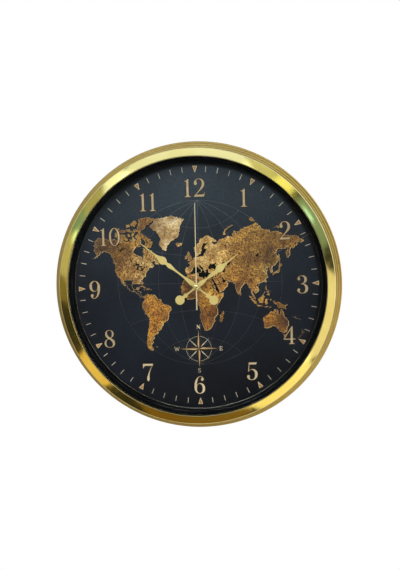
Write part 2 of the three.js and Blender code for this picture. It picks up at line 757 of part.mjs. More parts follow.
// Hands: a spade with a collared waist, and a disc on the tail
function spadeHand(reach, bulb) {
  const collar = -tailReach + tailRadius;
  const neck = bulb - neckDrop;
  const side = new THREE.Path();
  side.absarc(0, -tailReach, tailRadius, -Math.PI / 2, Math.PI / 2 - 0.4, false);
  side.lineTo(1.9, collar + 0.9);
  side.lineTo(1.9, collar + 1.9);
  side.lineTo(1.1, collar + 3.2);
  side.lineTo(1.9, -2);
  side.lineTo(2.3, 3);
  side.lineTo(0.95, bulb - waistDrop);
  side.lineTo(1.9, bulb - shoulderDrop);
  side.lineTo(1.25, neck);
  side.quadraticCurveTo(bulbHalf * 1.35, neck + 1.4, bulbHalf * 0.95, bulb + 0.8);
  side.quadraticCurveTo(bulbHalf * 0.6, bulb + 4.5, 1.2, bulb + pointRise);
  side.lineTo(0.35, reach - 0.6);
  const right = side.getPoints(4);
  const left = right.slice(1).reverse().map((p) => new THREE.Vector2(-p.x, p.y));
  return new THREE.Shape([...right, new THREE.Vector2(0, reach), ...left]);
}
function handOnPipe(shape, height, pipe, disc, collet, turn) {
  const back = dialFront - height;
  const front = back - bladeThickness;
  const body = join(
    plate(shape, front, back),
    rod(disc, front, back, 16),
    rod(pipe + 1, front, back + collet, 12),
  );
  const bore = rod(pipe + 0.1, front - 1, back + collet + 1, 12);
  return cut(body, bore).rotate([0, THREE.MathUtils.radToDeg(turn), 0]);
}
const needle = outline([
  [-0.6, -secondTail],
  [0.6, -secondTail],
  [0.4, secondReach],
  [-0.4, secondReach],
]);
const hourBlade = spadeHand(hourReach, hourBulb);
const minuteBlade = spadeHand(minuteReach, minuteBulb);
place('hour_hand', handOnPipe(hourBlade, hourHeight, hourPipe, bossDisc, 1.6, hourTurn), 'pale_gold');
place('minute_hand', handOnPipe(minuteBlade, minuteHeight, minutePipe, bossDisc, 1.6, minuteTurn), 'pale_gold');
place('second_hand', handOnPipe(needle, secondHeight, arborRadius, capRadius - 0.5, 0.9, secondTurn), 'pale_gold');
const capBack = dialFront - secondHeight - bladeThickness - 0.1;
place('hub_cap', cut(turned([
  [0, dialFront - capTop],
  [capRadius * 0.45, dialFront - capTop + 0.2],
  [capRadius * 0.8, dialFront - capTop + 0.8],
  [capRadius, capBack - 0.6],
  [capRadius, capBack],
  [0, capBack],
], 20), rod(arborRadius + run, arborEnd - 0.2, capBack + 1, 12)), 'pale_gold');

clock.position.set(0, 0, -nailRise);
export default clock;
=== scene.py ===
"""World map wall clock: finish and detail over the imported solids.

Metres, in the frame of the solids: x to the right, y into the wall, z up, with the dial's axis along y.
Lengths are written in millimetres and turned into metres by MM where a shape is drawn.
"""
import math
import random

import bpy
from mathutils import Matrix, Vector


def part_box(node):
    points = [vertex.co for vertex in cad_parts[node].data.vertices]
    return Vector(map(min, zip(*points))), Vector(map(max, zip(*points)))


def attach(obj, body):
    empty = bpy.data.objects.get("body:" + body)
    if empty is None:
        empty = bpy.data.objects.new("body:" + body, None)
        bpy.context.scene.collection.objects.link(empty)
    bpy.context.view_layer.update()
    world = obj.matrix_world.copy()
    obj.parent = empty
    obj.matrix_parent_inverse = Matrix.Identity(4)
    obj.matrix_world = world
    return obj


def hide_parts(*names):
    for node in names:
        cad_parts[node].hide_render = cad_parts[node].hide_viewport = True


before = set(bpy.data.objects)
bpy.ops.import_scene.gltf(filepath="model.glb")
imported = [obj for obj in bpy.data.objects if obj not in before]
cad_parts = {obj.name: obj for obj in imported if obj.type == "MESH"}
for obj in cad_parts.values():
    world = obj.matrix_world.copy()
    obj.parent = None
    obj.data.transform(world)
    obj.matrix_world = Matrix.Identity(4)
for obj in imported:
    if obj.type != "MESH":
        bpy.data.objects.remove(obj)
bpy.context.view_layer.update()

MM = 0.001
FULL_TURN = 2 * math.pi
QUARTER_TURN = math.pi / 2
EIGHTH_TURN = math.pi / 4


def low(node, way):
    """Least reach of a solid along x, y or z, in millimetres."""
    return getattr(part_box(node)[0], way) / MM


def high(node, way):
    """Greatest reach of a solid along x, y or z, in millimetres."""
    return getattr(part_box(node)[1], way) / MM


def half(node, way):
    """Half the length of a solid along x, y or z, in millimetres."""
    return (high(node, way) - low(node, way)) / 2


def middle(node):
    """Centre of a solid's box across and up, in millimetres."""
    return (low(node, "x") + high(node, "x")) / 2, (low(node, "z") + high(node, "z")) / 2


# Planes and radii read from the solids
AXIS = middle("hub_cap")[1]
CASE_RADIUS = high("bezel_case", "x")
CASE_FRONT = low("bezel_case", "y")
CASE_REAR = high("bezel_case", "y")
GLASS_RADIUS = high("glass_lens", "x")
GLASS_FRONT = low("glass_lens", "y")
GLASS_REAR = high("glass_lens", "y")
DIAL_FRONT = low("dial_plate", "y")
DIAL_REAR = high("dial_plate", "y")
DIAL_RADIUS = high("dial_plate", "x")
RING_RADIUS = high("inner_ring", "x")

# Photograph: its frame in pixels, where the dial's centre lies in it, and how the camera stood
PHOTO_WIDE = 400
PHOTO_HIGH = 570
DIAL_ACROSS = 197.3
DIAL_DOWN = 286.15
VIEW_RIGHT = math.radians(4.6)
VIEW_ABOVE = math.radians(4.6)
VIEW_ROLL = math.radians(-1.6)
VIEW_DISTANCE = 0.806
VIEW_LENS = 48.6
VIEW_SENSOR = 36

# Hands: angles clockwise from twelve
HOUR_ANGLE = math.radians(52.7)
MINUTE_ANGLE = math.radians(309)
SECOND_ANGLE = math.radians(0.4)


# Finishes: procedural shaders on the pieces' own coordinates, with scales in grains to the metre
WHITE = "#ffffff"
GRAIN_LOW = 0.3
GRAIN_HIGH = 0.7
GRAIN_ROUGHNESS = 0.55
FINE_GRAIN = 6
GLOSS_SPREAD = 0.15
# Sockets of a colour mix
FIRST_COLOUR = 6
SECOND_COLOUR = 7
MIXED_COLOUR = 2


def tone(code):
    """Linear light, which the shaders take, from a screen colour by the standard screen curve."""
    def linear(part):
        value = int(part, 16) / 255
        return value / 12.92 if value <= 0.04045 else ((value + 0.055) / 1.055) ** 2.4
    return tuple(linear(code[i:i + 2]) for i in (1, 3, 5)) + (1.0,)


def add_node(owner, kind, inputs=None, **settings):
    """Shader node of a material or the world; each input is another node's output or a plain value."""
    tree = owner.node_tree
    made = tree.nodes.new(f"ShaderNode{kind}")
    for name, value in settings.items():
        setattr(made, name, value)
    for socket, value in (inputs or {}).items():
        if isinstance(value, bpy.types.NodeSocket):
            tree.links.new(value, made.inputs[socket])
        else:
            made.inputs[socket].default_value = value
    return made


def shader_of(material):
    return material.node_tree.nodes["Principled BSDF"]


def set_shader(material, values):
    for socket, value in values.items():
        shader_of(material).inputs[socket].default_value = value


def feed_shader(material, socket, source):
    material.node_tree.links.new(source, shader_of(material).inputs[socket])


def paint(material, colour):
    feed_shader(material, "Base Color", colour)


def new_finish(name, roughness, metallic=0.0):
    material = bpy.data.materials.new(name)
    material.use_nodes = True
    set_shader(material, {"Roughness": roughness, "Metallic": metallic})
    return material


def own_place(material):
    """Coordinates of the piece itself."""
    return add_node(material, "TexCoord").outputs["Object"]


def grain(material, scale, detail=4.0, stretch=(1, 1, 1), swirl=0.0):
    """Noise over the piece; swirl draws it into streaks."""
    laid = add_node(material, "Mapping", {"Vector": own_place(material), "Scale": stretch})
    noise = add_node(material, "TexNoise", {
        "Vector": laid.outputs["Vector"], "Scale": scale, "Detail": detail,
        "Roughness": GRAIN_ROUGHNESS, "Distortion": swirl,
    })
    return noise.outputs["Fac"]


def ramped(owner, source, stops):
    """Colour that follows a source, from (position, linear colour) stops."""
    ramp = add_node(owner, "ValToRGB", {"Fac": source})
    scale = ramp.color_ramp.elements
    scale.remove(scale[0])
    scale[0].position, scale[0].color = stops[0]
    for position, colour in stops[1:]:
        scale.new(position).color = colour
    return ramp.outputs["Color"]


def shaded(material, source, stops):
    """Colour that follows a source, from (position, colour code) stops."""
    return ramped(material, source, [(position, tone(code)) for position, code in stops])


def two_tone(material, source, dark, light, first=GRAIN_LOW, last=GRAIN_HIGH):
    return shaded(material, source, [(first, dark), (last, light)])


def levels(owner, source, least=0.0, most=1.0, first=GRAIN_LOW, last=GRAIN_HIGH):
    """Value that goes from the least to the most as the source goes from its first to its last."""
    span = add_node(owner, "MapRange", {
        "Value": source, "From Min": first, "From Max": last, "To Min": least, "To Max": most,
    })
    return span.outputs["Result"]


def blended(owner, share, first, second, kind="MIX"):
    """Two colours mixed by a share."""
    inputs = {"Factor": share, FIRST_COLOUR: first, SECOND_COLOUR: second}
    return add_node(owner, "Mix", inputs, data_type="RGBA", blend_type=kind).outputs[MIXED_COLOUR]


def darkened(material, colour, shade, share=1.0):
    """Colour multiplied by a shade, as far as the share says."""
    return blended(material, share, colour, shade, "MULTIPLY")


def reckoned(owner, operation, first, second):
    return add_node(owner, "Math", {0: first, 1: second}, operation=operation).outputs["Value"]


def either(owner, share, first, second):
    """The first shader where the share is 0 and the second where it is 1."""
    return add_node(owner, "MixShader", {"Fac": share, 1: first, 2: second}).outputs["Shader"]


def show(material, shader):
    """Puts a shader on the material's surface."""
    output = material.node_tree.nodes["Material Output"]
    material.node_tree.links.new(shader, output.inputs["Surface"])


def raised(material, source, strength, height):
    """Bump from a grain, its height in millimetres."""
    bump = add_node(material, "Bump", {"Height": source, "Strength": strength, "Distance": height * MM})
    feed_shader(material, "Normal", bump.outputs["Normal"])


def climb(material, foot, top, way=(0, 0, 1)):
    """Share that rises from 0 to 1 between two distances in millimetres along a way from the origin."""
    along = add_node(material, "VectorMath", {0: own_place(material), 1: way}, operation="DOT_PRODUCT")
    return levels(material, along.outputs["Value"], first=foot * MM, last=top * MM)


def outward(material, inner, outer, across=0.0, up=0.0):
    """Share that rises from 0 to 1 between two distances in millimetres from a place on the dial."""
    centred = add_node(material, "Mapping", {
        "Vector": own_place(material),
        "Location": (-across * MM, 0, -(AXIS + up) * MM),
        "Scale": (1, 0, 1),
    })
    reach = add_node(material, "VectorMath", {0: centred.outputs["Vector"]}, operation="LENGTH")
    return levels(material, reach.outputs["Value"], first=inner * MM, last=outer * MM)


def grained(name, dark, light, scale, rough, metallic=0.0, *, bump, height, stretch=(1, 1, 1)):
    """Finish with a soft two-tone grain, uneven gloss and a fine relief."""
    material = new_finish(name, rough, metallic)
    paint(material, two_tone(material, grain(material, scale, stretch=stretch), dark, light))
    fine = grain(material, scale * FINE_GRAIN, detail=2.0, stretch=stretch)
    gloss = levels(material, fine, rough * (1 - GLOSS_SPREAD), rough * (1 + GLOSS_SPREAD))
    feed_shader(material, "Roughness", gloss)
    raised(material, fine, bump, height)
    return material


def ink(name, dark, light, scale, rough, height=0.04):
    """Printing ink of two tones with a faint relief."""
    return grained(name, dark, light, scale, rough, bump=0.05, height=height)


PLATE_CLOUD = 18
PLATE_SMEAR = 160
PLATE_RIPPLE = 55


def gold_plate(name, dark, light, least, most, metallic=1.0):
    """Plated metal between two tones; its gloss lies between the two roughness limits."""
    material = new_finish(name, most, metallic)
    paint(material, two_tone(material, grain(material, PLATE_CLOUD, detail=3.0), dark, light))
    smear = grain(material, PLATE_SMEAR, detail=3.0)
    feed_shader(material, "Roughness", levels(material, smear, least, most))
    raised(material, grain(material, PLATE_RIPPLE, detail=1.0), strength=0.06, height=0.25)
    return material


# Refractive index of the glass
GLASS_BENDING = 1.47


def clear_glass():
    """Float glass; lamp rays pass straight through it, so the dial behind is lit."""
    material = new_finish("clear_glass", roughness=0.0)
    set_shader(material, {"Transmission Weight": 1.0, "IOR": GLASS_BENDING})
    paint(material, two_tone(material, grain(material, 25), "#f8fbfa", "#fdfefe"))
    lamp_ray = add_node(material, "LightPath").outputs["Is Shadow Ray"]
    gap = add_node(material, "BsdfTransparent").outputs["BSDF"]
    show(material, either(material, lamp_ray, shader_of(material).outputs["BSDF"], gap))
    return material


# Dial ground: its tones from foot to top, lighter above as a painted sheen, and a painted shadow towards the
# upper right
DIAL_TONES_AND_SHEEN = [
    (0.0, "#14161e"), (0.45, "#1f242e"), (0.7, "#282e37"), (0.8, "#303840"), (1.0, "#383f48"),
]
RING_SHADOW_TONES = [(0.0, WHITE), (0.6, "#3a3d42"), (1.0, "#1c1d20")]
RING_SHADOW_INNER = 124.2
RING_SHADOW_OUTER = 129.3
# The way to the upper right, and where along it the painted shadow begins and is full
RING_SHADOW_WAY = (0.6, 0, 0.8)
RING_SHADOW_FROM = -20
RING_SHADOW_FULL = 60


def dial_navy():
    """Printed ground: deep navy below, painted sheen in hazy blue grey above, a cloudy drift, fine specks and
    a painted edge shadow.
    """
    material = new_finish("dial_navy", roughness=0.55)
    set_shader(material, {"Specular IOR Level": 0.15})
    # Navy print, painted lighter towards the top as a sheen
    ground = shaded(material, climb(material, AXIS - DIAL_RADIUS, AXIS + DIAL_RADIUS), DIAL_TONES_AND_SHEEN)
    drift = two_tone(material, grain(material, 9, detail=3.0), "#b9b0a6", "#f2fbff", first=0.35, last=0.65)
    specks = two_tone(material, grain(material, 420, detail=3.0), "#8f9498", WHITE, first=0.4, last=0.6)
    cloudy = darkened(material, ground, drift, share=0.7)
    speckled = darkened(material, cloudy, specks, share=0.3)
    # Painted shadow of the case's lip and the black ring along the dial's edge, deepest towards the upper
    # right
    rim = shaded(material, outward(material, RING_SHADOW_INNER, RING_SHADOW_OUTER), RING_SHADOW_TONES)
    centre = RING_SHADOW_WAY[2] * AXIS
    upper = climb(material, centre + RING_SHADOW_FROM, centre + RING_SHADOW_FULL, RING_SHADOW_WAY)
    paint(material, darkened(material, speckled, rim, upper))
    return material


# Gold leaf of the lands: dark, middle and light tones
LAND_NORTH = ("#cb9c42", "#f0c65f", "#fee994")
LAND_SOUTH = ("#b0751d", "#e3a230", "#ffcc61")
LAND_BRIGHT = ("#e9c57c", "#fcdc98", "#fff0bf")
LAND_PALE = ("#d8b781", "#ecd7aa", "#f1ecd5")
LEAF_STOPS = (0.36, 0.5, 0.64)
# Heights from the dial's centre of the southern and the northern tones
SOUTH_END = -45
NORTH_END = 65
CRACKLE_TONES = [(0.39, "#1c1006"), (0.47, "#a48c65"), (0.55, WHITE)]
# Tarnished places: tone, then inner and outer radius, across and up from the dial's centre
TARNISH = [
    ("#a0978a", (2, 42, 71, 33)), ("#8a7a60", (8, 40, -100, 44)), ("#7a6c50", (4, 22, 92, -36)),
    ("#b39f86", (3, 18, -6, -6)), ("#bfae8e", (4, 26, -88, 22)), ("#b0a08a", (4, 24, -52, 64)),
]
# Places where the leaf is still bright; the first is crackled less
BRIGHT_PLACES = [(10, 38, 6, 36), (4, 28, -58, 21)]
BRIGHT_WEAR = 0.7


def aged_gold_print(name, north_tones, south_tones, worn):
    """Printed land: gold leaf, from its northern to its southern tones, tarnished in places and crackled.

    Worn is the share of the crackle that shows.
    """
    material = new_finish(name, roughness=0.5)
    cloud = grain(material, 17, detail=2.5)
    north, south, bright = [
        shaded(material, cloud, list(zip(LEAF_STOPS, tones)))
        for tones in (north_tones, south_tones, LAND_BRIGHT)
    ]
    leaf = blended(material, climb(material, AXIS + SOUTH_END, AXIS + NORTH_END), south, north)
    for place in BRIGHT_PLACES:
        leaf = blended(material, outward(material, *place), bright, leaf)
    for code, place in TARNISH:
        spot = two_tone(material, outward(material, *place), code, WHITE, first=0.0, last=1.0)
        leaf = darkened(material, leaf, spot)
    patches = two_tone(material, grain(material, 85, detail=3.0), "#b5a17a", WHITE, first=0.36, last=0.6)
    coarse = two_tone(material, grain(material, 260), "#dccba9", WHITE, first=0.4, last=0.56)
    leaf = darkened(material, darkened(material, leaf, patches), coarse)
    crackle = grain(material, 900, detail=2.0, swirl=1.0)
    wear = levels(material, outward(material, *BRIGHT_PLACES[0]), worn * BRIGHT_WEAR, worn)
    paint(material, darkened(material, leaf, shaded(material, crackle, CRACKLE_TONES), wear))
    raised(material, crackle, strength=0.25, height=0.2)
    return material


LINE_STOPS = (0.36, 0.64)
# Height over the dial's centre from which the lines are at their palest
PALE_FROM = 80


def faint_line():
    """Thin printed line that comes and goes against the navy."""
    material = new_finish("faint_line", roughness=0.5)
    worn = grain(material, 45, detail=3.0)
    low_tone = two_tone(material, worn, "#1f252d", "#3f3e3b", *LINE_STOPS)
    high_tone = two_tone(material, worn, "#343c45", "#666a6b", *LINE_STOPS)
    paint(material, blended(material, climb(material, AXIS, AXIS + PALE_FROM), low_tone, high_tone))
    return material


NUMERAL_MOTTLE = 120
# Heights from the dial's centre
CREAM_UP_TO = -100
DULL_FROM = -40


def numeral_face():
    """Face of the printed figures: cream at the foot of the dial, duller above."""
    material = new_finish("numeral_face", roughness=0.45)
    mottle = grain(material, NUMERAL_MOTTLE)
    foot_tone = two_tone(material, mottle, "#c8b48d", "#dac9a4")
    main_tone = two_tone(material, mottle, "#a5916b", "#b8a47e")
    height = climb(material, AXIS + CREAM_UP_TO, AXIS + DULL_FROM)
    paint(material, blended(material, height, foot_tone, main_tone))
    fine = grain(material, NUMERAL_MOTTLE * FINE_GRAIN, detail=2.0)
    raised(material, fine, strength=0.05, height=0.04)
    return material


# Heights from the dial's centre up to which the painted highlight holds and from which the painted shade is
# full
FOOT_LIT_UP_TO = 10
FOOT_SHADED_FROM = 105


def bare_edge():
    """Foot of the black ring in pale metal as a painted highlight line, painted dark towards the top as
    shade.
    """
    material = new_finish("bare_edge", roughness=0.25, metallic=0.8)
    height = climb(material, AXIS + FOOT_LIT_UP_TO, AXIS + FOOT_SHADED_FROM)
    # Pale low down as a painted highlight, dark towards the top as painted shade
    metal = shaded(material, height, [(0.0, "#b5ab8e"), (0.6, "#77705c"), (1.0, "#1a1a17")])
    worn = two_tone(material, grain(material, 90), "#b8b8b8", WHITE)
    paint(material, darkened(material, metal, worn))
    return material


def black_gloss():
    """Black enamel under a clear coat."""
    material = grained("black_gloss", "#020203", "#050608", 30, 0.14, bump=0.004, height=0.02)
    set_shader(material, {"Specular IOR Level": 0.14, "Coat Weight": 0.12, "Coat Roughness": 0.05})
    return material


def land_shade():
    """Nearly black ink, with little shine."""
    material = grained("land_shade", "#050608", "#0a0b0e", 60, 0.6, bump=0.02, height=0.02)
    set_shader(material, {"Specular IOR Level": 0.12})
    return material


FINISHES = {
    "gold_plate": gold_plate("polished_gold", "#f2d67a", "#fae48f", 0.07, 0.12),
    "clear_glass": clear_glass(),
    "black_gloss": black_gloss(),
    "dial_navy": dial_navy(),
    "black_plastic": grained("black_plastic", "#151516", "#1d1d1e", 60, 0.5, bump=0.25, height=0.12),
    "grey_plastic": grained("grey_plastic", "#565a5f", "#64686e", 70, 0.48, bump=0.2, height=0.1),
    "white_plastic": grained("white_plastic", "#dcdad2", "#eae8e1", 80, 0.42, bump=0.12, height=0.06),
    "pale_gold": grained("pale_gold", "#c4b068", "#d3c07b", 90, 0.38, 0.15, bump=0.05, height=0.03),
    "steel": grained("steel", "#b0b2b4", "#c8cacc", 120, 0.3, 1.0, bump=0.05, height=0.03),
    "copper": grained(
        "copper", "#a8552c", "#c46b3a", 200, 0.35, 1.0, bump=0.3, height=0.05, stretch=(1, 1, 8)),
    "board_green": grained("board_green", "#1d4a2c", "#265c38", 150, 0.45, bump=0.2, height=0.05),
    "cell_jacket": grained("cell_jacket", "#34506a", "#3e5d78", 60, 0.35, 0.2, bump=0.03, height=0.03),
}
SATIN_GOLD = gold_plate("satin_gold", "#b2954a", "#c0a45a", 0.27, 0.35, metallic=0.7)
# Dark gold painted into the shoulder's step grooves as shade
SHADED_GROOVE_GOLD = gold_plate("shaded_groove_gold", "#5f4a1e", "#745b2a", 0.3, 0.4, metallic=0.7)
# Pale gold painted on the lip and the band's outer corner as a highlight
HIGHLIGHT_GOLD = gold_plate("edge_gold", "#e0cb84", "#f0e0a2", 0.3, 0.4, metallic=0.6)
# Pale metal foot of the black ring: a painted highlight line, painted dark towards the top as shade
LIT_RING_FOOT = bare_edge()
CELL_BAND_PAINT = grained("cell_band", "#b4b6b4", "#c6c8c6", 60, 0.35, 0.2, bump=0.03, height=0.03)
LAND = aged_gold_print("aged_gold_print", LAND_NORTH, LAND_SOUTH, 1.0)
PALE_LAND = aged_gold_print("pale_gold_print", LAND_PALE, LAND_NORTH, 0.6)
COAST = ink("coast_line", "#8a6230", "#e0bd82", 220, 0.5, height=0.05)
LAND_RIM = ink("land_rim", "#c9a160", "#f3deb0", 200, 0.45, height=0.05)
DIM_LAND = ink("dim_land", "#3a2a1a", "#59402a", 200, 0.5, height=0.05)
LAND_SHADE = land_shade()
FAINT = faint_line()
NUMERAL_FACE = numeral_face()
NUMERAL_LIGHT = ink("numeral_light", "#d8c599", "#e6d5ac", 120, 0.45)
NUMERAL_BROWN = ink("numeral_brown", "#7d5223", "#996730", 120, 0.5)
ROSE_GOLD = ink("rose_gold", "#cda96c", "#e0c48e", 160, 0.45)
ROSE_BROWN = ink("rose_brown", "#5f3d1a", "#7a5024", 160, 0.5)
TRIANGLE_TAN = ink("triangle_tan", "#94602c", "#b57f42", 160, 0.45)
TICK_TAN = ink("tick_tan", "#c9bb98", "#ece2c6", 200, 0.45)
SECOND_PALE = grained("second_pale", "#d3c699", "#e1d5ac", 90, 0.4, 0.1, bump=0.05, height=0.03)
HUB_BRASS = grained("hub_brass", "#d2bd74", "#e6d492", 120, 0.2, 0.75, bump=0.03, height=0.03)


# Modelling by hand
WELD = MM / 500
CURVE_STEPS = 5
LINE_RELIEF = 0.02
LONGEST_FILLET = 0.49
# Fillets of the corners, from none to a full rounding
SHARP = 0
CRISP = 0.1
FINE = 0.2
SOFT = 0.3
EASED = 0.4
ROUND = 0.6
# Angles in degrees up to which the shading runs smoothly over an edge
SMOOTH = 35
SMOOTH_MORE = 40
SMOOTH_LESS = 30
# How far past a face a cutting tool reaches
OVERRUN = 1


def start_fresh():
    if bpy.context.object and bpy.context.object.mode != "OBJECT":
        bpy.ops.object.mode_set(mode="OBJECT")
    bpy.ops.object.select_all(action="DESELECT")


def pick(piece):
    start_fresh()
    piece.select_set(True)
    bpy.context.view_layer.objects.active = piece


def settle(piece):
    """Leaves the piece at the origin, unturned, with its place in its mesh."""
    pick(piece)
    bpy.ops.object.transform_apply(location=True, rotation=True, scale=True)
    return piece


def put_away(piece):
    pick(piece)
    bpy.ops.object.delete()


def joined(piece, other):
    """Makes the other piece part of the first."""
    pick(other)
    piece.select_set(True)
    bpy.context.view_layer.objects.active = piece
    bpy.ops.object.join()
    return piece


def worked(piece, tool, way="DIFFERENCE"):
    """Cuts a tool out of a piece, or adds it, and puts the tool away."""
    pick(piece)
    change = piece.modifiers.new("worked", "BOOLEAN")
    change.operation = way
    change.object = tool
    bpy.ops.object.modifier_apply(modifier=change.name)
    put_away(tool)
    return piece


def soften(piece, degrees=SMOOTH):
    """Smooth shading across the roundings, with the large flat faces kept flat."""
    pick(piece)
    bpy.ops.object.shade_smooth_by_angle(angle=math.radians(degrees))
    steady = piece.modifiers.new("steady_flats", "WEIGHTED_NORMAL")
    steady.keep_sharp = True
    bpy.ops.object.modifier_apply(modifier=steady.name)
    return piece


def dress(piece, finish, body, slot, *nodes):
    """Gives a piece its finish, the body that it moves with and the solids that it stands for."""
    piece.data.materials.clear()
    piece.data.materials.append(finish)
    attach(piece, body)
    if nodes:
        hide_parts(*nodes)
    return piece


def rounded(corners, steps=5):
    """Closed profile with each corner (radius, depth, fillet) rounded by its fillet."""
    points = []
    count = len(corners)
    for i, (across, along, fillet) in enumerate(corners):
        corner = Vector((across, along))
        before = Vector(corners[i - 1][:2]) - corner
        after = Vector(corners[(i + 1) % count][:2]) - corner
        if fillet == SHARP:
            points.append(corner)
            continue
        lean = before.angle(after) / 2
        reach = min(fillet / math.tan(lean), before.length * LONGEST_FILLET, after.length * LONGEST_FILLET)
        first = corner + before.normalized() * reach
        last = corner + after.normalized() * reach
        for k in range(steps + 1):
            t = k / steps
            points.append(first * (1 - t) ** 2 + corner * 2 * t * (1 - t) + last * t ** 2)
    return points


def lathed(name, places, foot, axis, segments):
    """Joins the places of a closed profile one by one and spins it about an axis through foot."""
    places = places + places[:1]
    start_fresh()
    bpy.ops.mesh.primitive_plane_add(size=MM, location=places[0])
    piece = bpy.context.object
    piece.name = name
    bpy.ops.object.mode_set(mode="EDIT")
    bpy.ops.mesh.select_all(action="SELECT")
    bpy.ops.mesh.merge(type="CENTER")
    for here, there in zip(places, places[1:]):
        bpy.ops.mesh.extrude_region_move(TRANSFORM_OT_translate={"value": there - here})
    bpy.ops.mesh.select_all(action="SELECT")
    bpy.ops.mesh.spin(steps=segments, angle=FULL_TURN, center=foot, axis=axis)
    bpy.ops.mesh.select_all(action="SELECT")
    bpy.ops.mesh.remove_doubles(threshold=WELD)
    bpy.ops.mesh.normals_make_consistent(inside=False)
    bpy.ops.object.mode_set(mode="OBJECT")
    return settle(piece)


def spun(name, profile, segments, centre=(0, AXIS)):
    """Turns a closed profile of (radius, depth) about the dial's axis, or a line along y elsewhere."""
    across, up = centre
    places = [Vector(((across + r) * MM, y * MM, up * MM)) for r, y in profile]
    return lathed(name, places, (across * MM, 0, up * MM), (0, 1, 0), segments)


def drawn(name, outlines, depth, thickness=0.0, edge=0.0, line=0.0, angle=0.0, closed=True, thin=0.0):
    """Flat work on the dial: outlines in millimetres from its centre, x right and y up.

    A point (x, y) is a corner and (x, y, 1) lies on a round stretch. Outlines are filled, or drawn as lines
    of a half width. The front stands at depth, angle turns the work clockwise about the axis, and thin draws
    the outlines in by that much.
    """
    sheet = bpy.data.curves.new(name, "CURVE")
    sheet.dimensions = "2D"
    sheet.fill_mode = "NONE" if line else "BOTH"
    sheet.resolution_u = CURVE_STEPS
    sheet.extrude = thickness / 2 * MM
    sheet.bevel_depth = (line or edge) * MM
    sheet.bevel_resolution = 0 if line else 1
    sheet.offset = -(edge + thin) * MM
    for outline in outlines:
        curved = any(len(point) == 3 for point in outline)
        spline = sheet.splines.new("BEZIER" if curved else "POLY")
        marks = spline.bezier_points if curved else spline.points
        marks.add(len(outline) - 1)
        for mark, point in zip(marks, outline):
            if curved:
                mark.co = (point[0] * MM, point[1] * MM, 0)
                kind = "AUTO" if len(point) == 3 else "VECTOR"
                mark.handle_left_type = kind
                mark.handle_right_type = kind
            else:
                mark.co = (point[0] * MM, point[1] * MM, 0, 1)
        spline.use_cyclic_u = closed
    piece = bpy.data.objects.new(name, sheet)
    bpy.context.scene.collection.objects.link(piece)
    pick(piece)
    bpy.ops.object.convert(target="MESH")
    piece = bpy.context.object
    if line:
        bpy.ops.object.mode_set(mode="EDIT")
        bpy.ops.mesh.select_all(action="SELECT")
        bpy.ops.transform.resize(value=(1, 1, LINE_RELIEF / line), center_override=(0, 0, 0))
        bpy.ops.object.mode_set(mode="OBJECT")
    piece.rotation_euler = (QUARTER_TURN, angle, 0)
    piece.location = (0, (depth + thickness / 2) * MM, AXIS * MM)
    return settle(piece)


def block(name, first, last):
    """Box between two corners in millimetres."""
    start_fresh()
    centre = [(a + b) / 2 * MM for a, b in zip(first, last)]
    sides = [abs(b - a) * MM for a, b in zip(first, last)]
    bpy.ops.mesh.primitive_cube_add(size=1, location=centre, scale=sides)
    piece = bpy.context.object
    piece.name = name
    return settle(piece)


def drill(node, radius, front, rear, sides=24):
    """Round tool along y at a solid's centre."""
    across, up = middle(node)
    start_fresh()
    bpy.ops.mesh.primitive_cylinder_add(
        vertices=sides, radius=radius * MM, depth=(rear - front) * MM,
        location=(across * MM, (front + rear) / 2 * MM, up * MM), rotation=(QUARTER_TURN, 0, 0))
    return settle(bpy.context.object)


def moved(outlines, across, up, scale=1.0):
    """Outlines scaled and shifted, with the round points kept round."""
    return [
        [(across + p[0] * scale, up + p[1] * scale) + tuple(p[2:]) for p in outline]
        for outline in outlines
    ]


def turned(outline, angle):
    """An outline of corners turned clockwise about the dial's centre."""
    return [
        (x * math.cos(angle) + y * math.sin(angle), y * math.cos(angle) - x * math.sin(angle))
        for x, y in outline
    ]


def polar(radius, angle):
    """Place at a radius and a clockwise angle from twelve."""
    return radius * math.sin(angle), radius * math.cos(angle)


def on_ring(across, up, radius, angle):
    """Place on a circle, by the angle from the right."""
    return across + radius * math.cos(angle), up + radius * math.sin(angle)


def ring_of(across, up, radius, first=0.0, last=FULL_TURN, steps=24):
    """Points on an arc with both its ends, or on a full circle."""
    count = steps if last - first == FULL_TURN else steps + 1
    return [on_ring(across, up, radius, first + (last - first) * k / steps) for k in range(count)]


def reach_of(face):
    """Distance of a face from the dial's axis, in millimetres."""
    return math.hypot(face.center.x, face.center.z - AXIS * MM) / MM


# Case: a spun ring with a stepped shoulder, a crowned band and a rolled lip
CASE_SEGMENTS = 192
SHOULDER_WIDTH = 8.2
SHOULDER_STEPS = 3
FIRST_NOSE = 1.5
BAND_WIDTH = 9.1
BAND_SETBACK = 1.5
BAND_CROWN = 0.08
BAND_FILLET = 0.9
CROWN_RADIUS = 150
LIP_FILLET = 0.8
LIP_RETURN = 2.1
LIP_UNDERCUT = 1.3
WALL_DRAFT = 1.4
SHEET = 1.0
LIP_SLACK = 0.5
BAND_SLACK = 0.3
NOSE_RADIUS = 1.0
STEP_GROOVE = 0.8
TREAD_RISE = 0.3
BAND_OUTER = CASE_RADIUS - SHOULDER_WIDTH
BAND_INNER = BAND_OUTER - BAND_WIDTH
BAND_EDGE = CASE_FRONT + BAND_SETBACK
# Painted highlight lines in pale gold along the lip and the band's outer corner: their widths, and how far
# back they go
LIP_HIGHLIGHT = 0.55
BAND_HIGHLIGHT = 0.75
LINE_BACK = 1
# Places of the case's further finishes in its list: satin shoulder, painted shade in the grooves, painted
# highlight on the edges
SATIN, SHADED_GROOVE, LIT_EDGE = 1, 2, 3


def shoulder_steps():
    """Radius and nose depth of each step, from the outside in, and the width of a tread."""
    tread = SHOULDER_WIDTH / SHOULDER_STEPS
    nose_one = DIAL_FRONT - FIRST_NOSE
    rise = (BAND_EDGE - nose_one) / SHOULDER_STEPS
    return [(CASE_RADIUS - step * tread, nose_one + step * rise) for step in range(SHOULDER_STEPS)], tread


